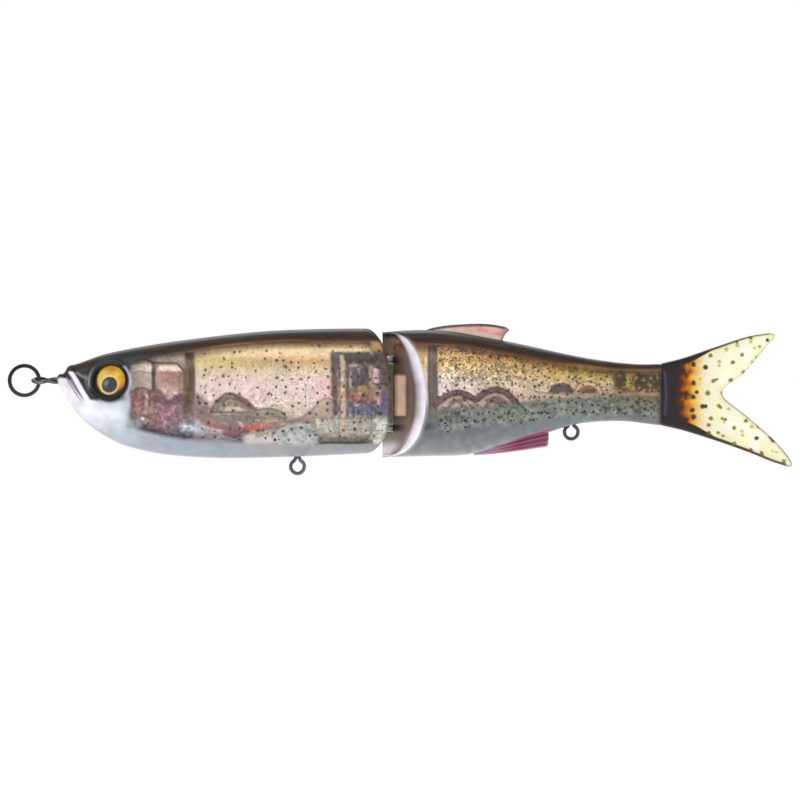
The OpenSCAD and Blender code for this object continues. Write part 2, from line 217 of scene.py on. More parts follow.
def through(points, q):
    """Places on a smooth curve through the points, where q counts along them."""
    p = np.array(points, float)
    t = np.arange(len(p))
    return np.stack([curve(np.c_[t, p[:, c]])(q) for c in (0, 1)], -1)


def smoothed(line, n=4):
    """More points along a line, on a smooth curve through its own."""
    return [tuple(q) for q in through(line, np.linspace(0, len(line) - 1, (len(line) - 1) * n + 1))]


def noise(x, z, size, seed=0):
    """Smooth random values from 0 to 1, with blotches of about the given size."""
    table = np.random.default_rng(seed).random((61, 61))
    u, w = x / size + 200, z / size + 200
    i, j = np.floor(u).astype(int), np.floor(w).astype(int)
    f, g = u - i, w - j
    f, g = f * f * (3 - 2 * f), g * g * (3 - 2 * g)

    def cell(a, b):
        return table[a % 61, b % 61]
    return mix(mix(cell(i, j), cell(i + 1, j), f), mix(cell(i, j + 1), cell(i + 1, j + 1), f), g)


# ---------------------------------------------------------------- paint laid on the vertices

def linear(colour):
    c = np.asarray(colour, float) / 255
    return np.where(c <= 0.04045, c / 12.92, ((c + 0.055) / 1.055) ** 2.4)


def ramp(v, stops):
    """Colours between stops, each a value and a colour of 0 to 255."""
    at = [s[0] for s in stops]
    return np.stack([np.interp(v, at, [s[1][c] for s in stops]) for c in range(3)], -1)


class Paint:
    """Colour and cover laid on points in layers. Colours are 0 to 255, masks and strengths 0 to 1."""

    def __init__(self, x, z):
        self.x, self.z = x, z
        self.rgb, self.a = np.zeros(x.shape + (3,)), np.zeros(x.shape)

    def lay(self, colour, mask):
        mask = np.clip(mask + 0 * self.x, 0, 1)
        total = mask + self.a * (1 - mask)
        old = (self.a * (1 - mask))[..., None] * self.rgb
        self.rgb = (linear(colour) * mask[..., None] + old) / np.maximum(total, 1e-6)[..., None]
        self.a = total

    def blot(self, colour, outline, edge=0.4, strength=1.0):
        """Filled outline."""
        self.lay(colour, strength * smooth(edge / 2, -edge / 2, signed(self.x, self.z, outline)))

    def stroke(self, colour, line, width, edge=0.35, strength=1.0):
        """Line with a clear edge."""
        d = distance(self.x, self.z, line) - width / 2
        self.lay(colour, strength * smooth(edge / 2, -edge / 2, d))

    def soft(self, colour, line, width, strength=1.0):
        """Line that fades away on both sides."""
        self.lay(colour, strength * bump(distance(self.x, self.z, line), width))

    def glow(self, colour, x, z, half_x, half_z, strength=1.0):
        """Oval that fades away."""
        self.lay(colour, strength * bump(np.hypot((self.x - x) / half_x, (self.z - z) / half_z), 1.0))

    def grain(self, low, high, size, seed):
        """Share from 0 to 1 of random blotches of about the given size."""
        return smooth(low, high, noise(self.x, self.z, size, seed))

    def speckle(self, amount, size, seed, stretch=(1, 1)):
        """Makes the colour lighter and darker in blotches."""
        n = noise(self.x * stretch[0], self.z * stretch[1], size, seed) - 0.5
        self.rgb *= np.exp(amount * n)[..., None]


# ---------------------------------------------------------------- meshes

def grid_faces(n, m, offset=0):
    k = offset + np.arange(n - 1)[:, None] * m + np.arange(m - 1)[None, :]
    return np.stack([k, k + 1, k + m + 1, k + m], -1).reshape(-1, 4)


def strip_faces(a, b):
    """Quads between two rows of vertex numbers."""
    return np.stack([a[:-1], b[:-1], b[1:], a[1:]], -1)


def solid_between(outer, inner):
    """Vertices and faces of the closed solid between two grids of the same size."""
    n, m = outer.shape[:2]
    o = n * m
    k = np.arange(o).reshape(n, m)
    faces = [grid_faces(n, m), grid_faces(n, m, o)[:, ::-1], strip_faces(k[0], k[0] + o)[:, ::-1],
             strip_faces(k[-1], k[-1] + o), strip_faces(k[:, 0], k[:, 0] + o),
             strip_faces(k[:, -1], k[:, -1] + o)[:, ::-1]]
    return np.concatenate([outer.reshape(-1, 3), inner.reshape(-1, 3)]), np.concatenate(faces)


def linked(name, data):
    """Scene object that shows the data."""
    obj = bpy.data.objects.new(name, data)
    bpy.context.scene.collection.objects.link(obj)
    return obj


def new_mesh(name, vertices, faces, sharp=35.0):
    """Object from millimetre vertices: welded, closed faces turned outwards, sharp above an angle."""
    mesh = bpy.data.meshes.new(name)
    mesh.from_pydata([tuple(v) for v in np.asarray(vertices, float) * MM], [],
                     [tuple(f) for f in faces])
    b = bmesh.new()
    b.from_mesh(mesh)
    finish_bmesh(b, mesh, sharp)
    return linked(name, mesh)


def finish_bmesh(b, mesh, sharp):
    bmesh.ops.remove_doubles(b, verts=b.verts, dist=WELD)
    bmesh.ops.dissolve_degenerate(b, edges=b.edges, dist=WELD)
    bmesh.ops.recalc_face_normals(b, faces=b.faces)
    for f in b.faces:
        f.smooth = True
    limit = math.radians(sharp)
    for e in b.edges:
        e.smooth = len(e.link_faces) == 2 and e.calc_face_angle(0) < limit
    b.to_mesh(mesh)
    b.free()
    mesh.update()


def cut(obj, cutters, sharp=35.0):
    """Takes the cutters out of the object and deletes them."""
    for c in cutters:
        m = obj.modifiers.new("cut", "BOOLEAN")
        m.object, m.operation, m.solver = c, "DIFFERENCE", "MANIFOLD"
    graph = bpy.context.evaluated_depsgraph_get()
    mesh = bpy.data.meshes.new_from_object(obj.evaluated_get(graph))
    obj.modifiers.clear()
    obj.data = mesh
    b = bmesh.new()
    b.from_mesh(mesh)
    finish_bmesh(b, mesh, sharp)
    for c in cutters:
        bpy.data.objects.remove(c)


def coordinates(obj):
    co = np.zeros(len(obj.data.vertices) * 3)
    obj.data.vertices.foreach_get("co", co)
    return co.reshape(-1, 3) / MM


def set_paint(obj, paint):
    data = obj.data.attributes.new("paint", "FLOAT_COLOR", "POINT")
    data.data.foreach_set("color", np.concatenate([paint.rgb, paint.a[:, None]], 1).ravel())


def set_value(obj, name, values):
    data = obj.data.attributes.new(name, "FLOAT", "POINT")
    data.data.foreach_set("value", np.asarray(values, np.float32).ravel())


def place(obj, body, slot, material, *nodes):
    """Puts the piece on its body, in place of the CAD nodes. The slot is not used."""
    obj.data.materials.clear()
    obj.data.materials.append(material)
    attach(obj, body)
    if nodes:
        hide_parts(*nodes)
    return obj


def mirrored(vertices, side):
    return vertices * np.array([1, side, 1])


def moved(points, matrix):
    m = np.array(matrix)
    return points @ m[:3, :3].T + m[:3, 3]


def prism(name, outline, low, high, along="z", bevel=0.15, sharp=35.0):
    """Outline drawn along z, or an outline in y and z drawn along x, with rounded edges."""
    b = bmesh.new()
    order = (lambda p, h: (p[0], p[1], h)) if along == "z" else (lambda p, h: (h, p[0], p[1]))
    rings = [[b.verts.new(Vector(order(p, h)) * MM) for p in outline] for h in (low, high)]
    b.faces.new(rings[0])
    b.faces.new(rings[1][::-1])
    for i in range(len(outline)):
        j = (i + 1) % len(outline)
        b.faces.new([rings[0][i], rings[1][i], rings[1][j], rings[0][j]])
    bmesh.ops.recalc_face_normals(b, faces=b.faces)
    if bevel:
        edges = [e for e in b.edges if e.calc_face_angle(0) > math.radians(25)]
        bmesh.ops.bevel(b, geom=edges, offset=bevel * MM, segments=3, profile=0.5, affect="EDGES")
    mesh = bpy.data.meshes.new(name)
    finish_bmesh(b, mesh, sharp)
    return linked(name, mesh)


def box(low, high, bevel=0.3):
    outline = [(low[0], low[1]), (high[0], low[1]), (high[0], high[1]), (low[0], high[1])]
    return prism("box", outline, low[2], high[2], bevel=bevel)


def tube_faces(rows):
    """Quads between rows of vertex numbers, each row closed to a ring."""
    rows = np.concatenate([rows, rows[:, :1]], 1)
    return np.concatenate([strip_faces(a, b) for a, b in zip(rows, rows[1:])])


def polar(radii, n):
    turn = np.linspace(0, 2 * np.pi, n, endpoint=False)
    r = np.array(radii, float)[:, None]
    return r * np.cos(turn), r * np.sin(turn)


def lathe(name, profile, matrix, n=64, sharp=35.0):
    """Turned solid: profile of (radius, height), about the matrix's Z axis."""
    p = np.array(profile, float)
    x, y = polar(p[:, 0], n)
    v = np.stack([x, y, p[:, 1, None] + 0 * x], -1).reshape(-1, 3)
    faces = tube_faces(np.arange(x.size).reshape(x.shape))
    return new_mesh(name, moved(v, matrix), faces, sharp)


def sweep(name, path, section, up, sharp=40.0, scale=1.0):
    """A section (across, along up) carried along an open path, with flat ends."""
    step = np.gradient(path, axis=0)
    step /= np.linalg.norm(step, axis=1, keepdims=True)
    across = np.cross(step, np.broadcast_to(np.array(up, float), path.shape))
    across /= np.linalg.norm(across, axis=1, keepdims=True)
    high = np.cross(across, step)
    section = np.array(section, float)
    size = (scale + np.zeros(len(path)))[:, None, None]
    v = path[:, None] + size * (section[None, :, :1] * across[:, None] + section[None, :, 1:]
                                * high[:, None])
    rows = np.arange(v.size // 3).reshape(v.shape[:2])
    faces = [tuple(f) for f in tube_faces(rows)] + [tuple(rows[0]), tuple(rows[-1][::-1])]
    return new_mesh(name, v.reshape(-1, 3), faces, sharp)


def join(name, objects):
    """One object from several."""
    b = bmesh.new()
    for o in objects:
        b.from_mesh(o.data)
    for f in b.faces:
        f.smooth = True
    mesh = bpy.data.meshes.new(name)
    b.to_mesh(mesh)
    b.free()
    for o in objects:
        bpy.data.objects.remove(o)
    return linked(name, mesh)


# ---------------------------------------------------------------- material nodes

class Net:
    """Node tree of a new material or world."""

    def __init__(self, name, world=False):
        self.output = "OutputWorld" if world else "OutputMaterial"
        self.owner = (bpy.data.worlds if world else bpy.data.materials).new(name)
        self.owner.use_nodes = True
        self.tree = self.owner.node_tree
        self.tree.nodes.clear()

    def add(self, kind, sockets=None, **settings):
        node = self.tree.nodes.new("ShaderNode" + kind)
        for key, value in settings.items():
            setattr(node, key, value)
        for key, value in (sockets or {}).items():
            if isinstance(value, bpy.types.NodeSocket):
                self.tree.links.new(value, node.inputs[key])
            else:
                node.inputs[key].default_value = value
        return node

    def math(self, operation, *values, clamp=False):
        return self.add("Math", dict(enumerate(values)), operation=operation, use_clamp=clamp).outputs[0]

    def blend(self, factor, a, b, mode="MIX"):
        return self.add("Mix", {0: factor, 6: a, 7: b}, data_type="RGBA", blend_type=mode).outputs[2]

    def attribute(self, name):
        return self.add("Attribute", attribute_name=name).outputs

    def noise(self, vector, scale, detail=2.0, rough=0.5):
        return self.add("TexNoise", {"Vector": vector, "Scale": scale, "Detail": detail,
                                     "Roughness": rough}).outputs["Fac"]

    def range(self, value, low, high, to_low=0.0, to_high=1.0):
        return self.add("MapRange", {0: value, 1: low, 2: high, 3: to_low, 4: to_high}).outputs[0]

    def bump(self, height, strength, depth):
        return self.add("Bump", {"Height": height, "Strength": strength, "Distance": depth}).outputs[0]

    def object(self):
        return self.add("TexCoord").outputs["Object"]

    def toned(self, where, scale, detail, amount):
        """The painted colour with a faint cloudiness."""
        tone = self.range(self.noise(where, scale, detail), 0.3, 0.7, 1 - amount, 1 + amount)
        return self.blend(1.0, self.attribute("paint")["Color"], tone, "MULTIPLY")

    def layers(self, share, under, over):
        return self.add("MixShader", {0: share, 1: under, 2: over}).outputs[0]

    def principled(self, **sockets):
        named = {k.replace("_", " "): v for k, v in sockets.items()}
        return self.add("BsdfPrincipled", named).outputs[0]

    def finish(self, shader):
        self.add(self.output, {"Surface": shader})
        return self.owner


def rgba(r, g, b, a=1.0):
    return (*[float(c) for c in linear((r, g, b))], a)


def spots(net, where, density, cell=2.15, small=0.13, large=0.235):
    """Mask of round spots, one to a cell, with a random size. Only a share of the cells has one."""
    split = net.add("SeparateXYZ", {0: where})
    flat = net.add("CombineXYZ", {0: split.outputs[0], 1: split.outputs[2]}).outputs[0]
    wobble = net.add("TexNoise", {"Vector": flat, "Scale": 900.0, "Detail": 1.0})
    off = net.add("VectorMath", {0: wobble.outputs["Color"], 1: (0.5, 0.5, 0.5)}, operation="SUBTRACT")
    off = net.add("VectorMath", {0: off.outputs[0], "Scale": 0.0007}, operation="SCALE")
    shifted = net.add("VectorMath", {0: flat, 1: off.outputs[0]}, operation="ADD")
    cells = net.add("TexVoronoi", {"Vector": shifted.outputs[0], "Scale": 1000.0 / cell, "Randomness": 0.92},
                    voronoi_dimensions="2D")
    pick = net.add("SeparateColor", {0: cells.outputs["Color"]})
    radius = net.range(pick.outputs[0], 0.0, 1.0, small, large)
    inside = net.math("DIVIDE", net.math("SUBTRACT", radius, cells.outputs["Distance"]), 0.07, clamp=True)
    chosen = net.math("LESS_THAN", pick.outputs[1], density)
    return net.math("MULTIPLY", inside, chosen)


def clear_gloss(net, tint, roughness, base, power, edge_tint=None):
    """Clear plastic: see-through, with a gloss that grows towards the edges."""
    facing = net.add("LayerWeight", {"Blend": 0.5}).outputs["Facing"]
    gain = net.math("MULTIPLY_ADD", net.math("POWER", facing, power), 0.4, base)
    if edge_tint:
        tint = net.blend(net.math("POWER", facing, 3.0), tint, edge_tint)
    clear = net.add("BsdfTransparent", {"Color": tint}).outputs[0]
    shine = net.add("BsdfGlossy", {"Color": WHITE, "Roughness": roughness}).outputs[0]
    return net.layers(gain, clear, shine)


def shell_material(name):
    """Clear shell with paint sprayed on it and dark spots over the paint."""
    net = Net(name)
    where = net.object()
    density = net.attribute("spots")["Fac"]
    mask = spots(net, where, density)
    for share, less, cell, ink in ((1.7, 1.2, 1.7, 1.0), (0.3, 0.0, 1.15, 0.6)):
        layer = spots(net, where, net.math("SUBTRACT", net.math("MULTIPLY", density, share), less), cell)
        mask = net.math("MAXIMUM", mask, net.math("MULTIPLY", layer, ink))
    colour = net.blend(mask, net.toned(where, 420.0, 3.0, 0.1), rgba(54, 44, 36))
    alpha = net.math("MAXIMUM", net.attribute("paint")["Alpha"], net.math("MULTIPLY", mask, 0.82))
    grain = net.noise(where, 2600.0, 2.0)
    painted = net.principled(
        Base_Color=colour, Roughness=net.range(grain, 0.3, 0.7, 0.3, 0.46),
        Normal=net.bump(grain, 0.12, 0.00006), Coat_Weight=0.12, Coat_Roughness=0.08,
        Specular_IOR_Level=0.25)
    clear = clear_gloss(net, (0.985, 0.98, 0.97, 1), 0.05, 0.02, 4.0, rgba(206, 200, 190))
    return net.finish(net.layers(alpha, clear, painted))


def foil_material(name):
    """Printed holographic foil: ink over fine metallic flakes."""
    net = Net(name)
    where = net.object()
    glitter = net.attribute("glitter")["Fac"]
    flakes = net.add("TexVoronoi", {"Vector": where, "Scale": 2700.0, "Randomness": 1.0}).outputs["Color"]
    pick = net.add("SeparateColor", {0: flakes})
    sparkle = net.math("MULTIPLY", net.math("SUBTRACT", pick.outputs[0], 0.5), glitter)
    gain = net.math("POWER", 2.718, net.math("MULTIPLY", sparkle, 1.9))
    colour = net.blend(1.0, net.attribute("paint")["Color"], gain, "MULTIPLY")
    hue = net.blend(net.math("MULTIPLY", glitter, 0.22), colour, flakes, "SOFT_LIGHT")
    height = net.math("ADD", pick.outputs[1], net.noise(where, 1500.0, 2.0))
    ink = net.principled(
        Base_Color=hue, Metallic=0.15, Roughness=net.range(pick.outputs[2], 0.0, 1.0, 0.35, 0.55),
        Normal=net.bump(height, 0.35, 0.00008), Specular_IOR_Level=0.2)
    clear = net.add("BsdfTransparent", {"Color": WHITE}).outputs[0]
    return net.finish(net.layers(net.attribute("paint")["Alpha"], clear, ink))


def plain_material(name, dark, light, metal, rough, grain_scale=900.0, bumps=0.1, depth=0.00004,
                   coat=0.0, stretch=(1, 1, 1), specular=0.5):
    """Moulded plastic or metal: two tones, a fine grain, uneven roughness."""
    net = Net(name)
    where = net.add("Mapping", {"Vector": net.object(), "Scale": stretch}).outputs[0]
    grain = net.noise(where, grain_scale, 4.0, 0.6)
    cloud = net.noise(where, grain_scale / 7, 2.0)
    colour = net.blend(net.range(cloud, 0.35, 0.65), dark, light)
    shader = net.principled(
        Base_Color=colour, Metallic=metal, Roughness=net.range(grain, 0.3, 0.7, rough[0], rough[1]),
        Normal=net.bump(grain, bumps, depth), Coat_Weight=coat, Coat_Roughness=0.08,
        Specular_IOR_Level=specular)
    return net.finish(shader)


def painted_material(name, roughness=(0.3, 0.45), coat=0.3, alpha=False, vector=None, grain_scale=1500.0,
                     bumps=0.15, metallic=0.0, specular=0.4):
    """Surface whose colour is laid on the vertices, with a fine grain over it."""
    net = Net(name)
    where = net.attribute("rest")["Vector"] if vector == "rest" else net.object()
    grain = net.noise(where, grain_scale, 3.0)
    sockets = dict(Base_Color=net.toned(where, grain_scale / 4, 2.0, 0.07),
                   Roughness=net.range(grain, 0.3, 0.7, *roughness),
                   Normal=net.bump(grain, bumps, 0.00005), Coat_Weight=coat, Coat_Roughness=0.08,
                   Metallic=metallic, Specular_IOR_Level=specular)
    if alpha:
        sockets["Alpha"] = net.attribute("paint")["Alpha"]
    return net.finish(net.principled(**sockets))


SHELL = shell_material("clear_painted_shell")
FOIL = foil_material("printed_foil")
BLOCK = plain_material("translucent_block", rgba(176, 160, 140), rgba(214, 196, 170), 0.0, (0.22, 0.38),
                       coat=0.4)
KNUCKLE = plain_material("tan_knuckle", rgba(196, 158, 126), rgba(222, 186, 152), 0.0, (0.25, 0.4), coat=0.5)
STEEL = plain_material("stainless_steel", rgba(120, 118, 120), rgba(176, 174, 176), 1.0, (0.2, 0.36),
                       stretch=(1, 1, 5))
WIRE = plain_material("dark_wire", rgba(62, 60, 62), rgba(112, 108, 108), 1.0, (0.18, 0.34), 1400.0)
NICKEL = plain_material("black_nickel", rgba(34, 33, 36), rgba(58, 56, 60), 1.0, (0.14, 0.28), 1200.0)
LEAD = plain_material("cast_weight", rgba(80, 80, 84), rgba(120, 120, 124), 0.9, (0.45, 0.7), 700.0,
                      bumps=0.5, depth=0.0002)

# ---------------------------------------------------------------- front shell: relief and paint

MOUTH = smoothed([(5.9, 1.5), (6.9, 0.5), (7.8, -0.9), (9.4, -3.4), (11.4, -6.0)])
STRIPE = smoothed([(6.9, 1.9), (7.7, 0.9), (8.9, -1.2), (10.3, -3.4), (11.7, -5.3)])
LIP = smoothed([(7.4, 2.8), (8.6, 1.3), (9.8, -0.6), (11.1, -2.8), (12.4, -4.8)])
CHEEK_FRONT = smoothed([(8.2, 3.2), (9.2, 1.7), (10.4, -0.2), (11.8, -2.6), (13.1, -4.8)])
GILL_EDGE = smoothed([(36.6, 7.4), (38.6, 4.2), (39.4, 0.4), (39.2, -3.4), (38.1, -7.2), (35.8, -10.6),
                      (32, -13.2), (27.5, -14.8)])
CHEEK = smoothed([(25.3, 5.6), (23.7, 2.4), (23.1, -1.6), (23.6, -5.4), (25.7, -9.2), (29.2, -12),
                  (33, -13)])
GILL_COVER = GILL_EDGE + [(14, -14.8), (14, 7.4)]


def beyond(line, x, z):
    """Distance along X behind a line that runs downwards."""
    p = sorted((q[1], q[0]) for q in line)
    return x - np.interp(z, [q[0] for q in p], [q[1] for q in p])


def front_relief(x, z):
    level = smooth(-6.6, -5.2, z)
    d = -0.42 * bump(distance(x, z, MOUTH), 0.32) * level
    d -= 0.16 * bump(distance(x, z, STRIPE), 0.4) * level
    d += 0.3 * bump(distance(x, z, LIP), 0.42) * level
    d -= 0.26 * bump(distance(x, z, CHEEK_FRONT), 0.3) * level
    behind = beyond(MOUTH, x, z)
    d -= 0.26 * smooth(0.1, -0.3, behind) * smooth(-3.5, -0.4, behind) * smooth(-7.5, -5, z)
    r = np.hypot(x - EYE_CENTRE.x, z - EYE_CENTRE.z)
    d += 0.22 * bump(r - 5.3, 0.55)
    edge = distance(x, z, GILL_EDGE)
    inside = signed(x, z, GILL_COVER) < 0
    d += np.where(inside, 0.3 * smooth(3.4, 0.3, edge), -0.12 * bump(edge, 0.5) + 0.3
                  * smooth(0.35, 0, edge))
    d -= 0.14 * bump(distance(x, z, CHEEK), 0.45)
    return d * smooth(4.4, 6.2, x)


def seam(grid):
    """Fine groove where the two halves meet along the back and the belly."""
    return -0.13 * bump(grid[..., 1], 0.22)


def half_shell(section, u, levels, ends, relief):
    """Closed left half shell. Vertices have a part (0 flank, 1 and 2 ends, 3 inside) and a share."""
    a = angles(SHELL_COLUMNS)
    outer, part, share = section.capped(section.skin(u, a), levels, (0, 0))
    inner, _, _ = section.capped(section.skin(u, a, WALL, ends), levels, ends)
    part = part[:, None] + 0 * outer[..., 0]
    share = share[:, None] + 0 * outer[..., 0]
    shaped = outer + outward(outer, part, section) * relief(outer, part, share)[..., None]
    shaped[outer[..., 1] > -1e-6, 1] = 0
    tags = np.concatenate([np.stack([part, share], -1).reshape(-1, 2), np.full((part.size, 2), (3.0, 0.0))])
    return shaped, inner, tags


def cut_shell(name, outer, inner, tags, side, cutters):
    """Shell with its openings cut, and the part and share of each vertex. Part 4 is a cut face."""
    v, f = solid_between(mirrored(outer, side), mirrored(inner, side))
    shell = new_mesh(name, v, f, 38)
    tree = KDTree(len(v))
    for i, q in enumerate(v):
        tree.insert(q, i)
    tree.balance()
    cut(shell, cutters, 38)
    co = coordinates(shell)
    found = [tree.find(q) for q in co]
    tags = np.array([tags[i] if d < 0.003 else (4.0, 0.0) for _, i, d in found])
    return shell, co, tags[:, 0], tags[:, 1]


def rim(part, share, grid, section, depths, width):
    """Rounds the corners between the flank and the two end faces."""
    x, y = grid[..., 0], grid[..., 1]
    on_cap = (1 - share) * np.abs(y).max()
    d = np.zeros_like(x)
    for code, depth, gap in ((1, depths[0], x - section.start(y)), (2, depths[1], section.end(y) - x)):
        near = np.where(part == code, on_cap, np.where(part == 0, gap, 9))
        d -= depth * smooth(width, 0, near)
    return d


def front_shape(grid, part, share):
    d = np.where(part == 0, front_relief(grid[..., 0], grid[..., 2]), 0)
    return d + seam(grid) + rim(part, share, grid, front, (0, 0.4), 0.9)


BAND = [(4, 0.6), (8, 1.6), (12, 2.2), (20, 2.4), (30, 2.9), (38, 2.7), (46, 2.2), (62, 2.2), (72, 2.7),
        (90, 2.7)]
FRONT_BELLY = [(20, -11.0), (26, -12.7), (31, -13.8), (38, -15.0), (45, -15.3), (52, -15.7), (60, -15.9),
               (70, -15.9), (80, -15.9), (90, -15.6)]
LUMP = [(59.6, -16.2), (59.4, -13.8), (60.6, -12.4), (62.6, -11.4), (65.4, -10.9), (68.2, -11.2),
        (69.7, -12.2), (70.2, -14), (69.9, -16.2)]
HEAD_DARK = [(6.2, 1.6), (6.4, 3.0), (7.2, 4.4), (9, 5.5), (16, 9), (24, 10), (27.5, 8.2), (26.2, 6.4),
             (24.2, 5.6), (23.3, 3.6), (22.9, 1.6), (22.0, 2.6), (18, 0), (15.8, -3.8), (15.0, -5.1),
             (13.2, -4.9), (12.0, -3.9), (10.6, -1.6), (9.5, 0.4), (8.5, 2.1), (8.0, 2.8), (7.3, 3.0),
             (6.9, 1.8)]


def line_at(points, x):
    return np.interp(x, [p[0] for p in points], [p[1] for p in points])


def back_band(p, depth, x, width, warm=1.0):
    """Dark back with a brown lower edge, broken up along the body."""
    streak = noise(x, depth * 14, 5.0, 4) - 0.5
    d = depth + 0.3 * (noise(x, depth, 6.0, 4) - 0.5) + 0.3 * streak
    p.lay((150, 98, 50), 0.5 * warm * smooth(width + 1.0, width + 0.4, d))
    p.lay((84, 48, 28), warm * smooth(width + 0.7, width + 0.2, d))
    p.lay((44, 30, 22), smooth(width + 0.35, width - 0.35, d))
    p.lay((70, 48, 34), 0.7 * smooth(0.1, 0.3, streak) * smooth(width, width - 0.6, d))
    p.lay((36, 31, 29), smooth(width - 0.9, width - 1.7, d))
    p.lay((66, 50, 40), 0.55 * smooth(0.06, 0.26, streak) * smooth(width - 0.7, width - 1.3, d))


# line, width, colour and strength of each mark over the hinge; one is a painted shadow, one a painted
# highlight
HINGE_MARKS = [
    ([(74.1, 6.6), (74.5, -8.2)], 1.5, (94, 70, 60), 0.9),
    ([(76.3, 5.8), (76.6, -15.2)], 1.1, (212, 186, 164), 0.85),
    ([(77.5, 5.6), (77.6, -8.8)], 0.4, (78, 62, 58), 0.8),
    ([(79.2, 2.6), (79.4, -1.2)], 1.8, (70, 62, 78), 0.75),
    ([(82.0, 2.8), (81.6, -0.6)], 1.5, (66, 58, 66), 0.8),
    ([(80.8, -2.2), (83.0, -2.8)], 1.9, (158, 122, 66), 0.8),
    ([(83.4, 3.4), (83.6, -1.2)], 0.9, (196, 168, 150), 0.8),
    ([(77.4, -4.4), (84.2, -5.0)], 0.7, (146, 56, 44), 0.9),
    ([(78.4, -7.4), (83.6, -7.8)], 2.2, (92, 88, 122), 0.7),
    ([(84.4, 6.4), (84.5, -15.4)], 0.35, (84, 70, 62), 0.8),
    ([(84.6, 2.3), (84.6, -0.1)], 1.5, (206, 178, 176), 0.8),
    ([(84.0, -0.8), (88.5, -1.1)], 0.6, (54, 46, 46), 0.9),
    ([(86.9, -3.4), (86.8, -6.8)], 1.7, (84, 76, 116), 0.75),
    # painted shadow of the front section's rear edge
    ([(87.8, 7), (88.0, -10)], 0.5, (66, 56, 50), 0.7),
    ([(77.6, 5.9), (84.2, 5.5)], 2.0, (36, 28, 14), 0.9),
    ([(70.2, -9.6), (84.4, -9.4)], 0.4, (120, 108, 96), 0.8),
    # painted highlight along the lower edge of the hinge block
    ([(70.0, -15.3), (86.0, -15.1)], 0.5, (232, 226, 214), 0.8),
    ([(69.9, -9.8), (69.9, -15.3)], 0.5, (226, 216, 196), 0.9),
]


def hinge_print(p, x, z, mask):
    """What shows of the hinge through the clear flank: dark and pale bars, a red line, violet patches,
    painted shade and light.
    """
    tone = mix(noise(x * 2.6, z * 0.5, 1.0, 55), noise(x, z, 0.9, 58), 0.5)
    p.lay(ramp(z, [(-16, (178, 180, 172)), (-10, (172, 172, 162)), (-8.6, (106, 102, 122)),
                   (-6, (110, 98, 120)), (-4, (146, 102, 88)), (-2, (136, 108, 90)), (0, (104, 86, 96)),
                   (3.6, (90, 78, 80)), (5, (74, 62, 44)), (6.8, (78, 66, 42)), (7.6, (116, 96, 60))]), mask)
    p.lay((196, 172, 156), mask * 0.75 * smooth(0.5, 0.75, tone) * smooth(5.4, 3.6, z)
          * smooth(86.4, 85.2, x))
    p.lay((74, 60, 54), mask * 0.75 * smooth(85.2, 86.4, x) * smooth(-9, -6, z))
    p.lay((62, 54, 60), mask * 0.7 * smooth(0.5, 0.3, tone) * smooth(-9.4, -8.4, z))
    for points, width, colour, strength in HINGE_MARKS:
        d = distance(x, z, points) - width / 2 + 0.5 * (tone - 0.5)
        p.lay(colour, mask * strength * smooth(0.25, -0.25, d))
    p.speckle(0.9 * mask, 0.5, 59, (1.8, 0.8))
    p.speckle(0.7 * mask, 0.6, 60, (0.5, 2.2))


def hide_inside(p, part):
    """The inner skin is clear; the cut faces, the walls of the openings, are painted dark as shade inside
    them.
    """
    p.a = np.where(part == 3, 0, np.where(part == 4, 1, p.a))
    p.rgb = np.where((part == 3)[:, None], linear((200, 190, 175)), p.rgb)
    p.rgb = np.where((part == 4)[:, None], linear((40, 34, 30)), p.rgb)


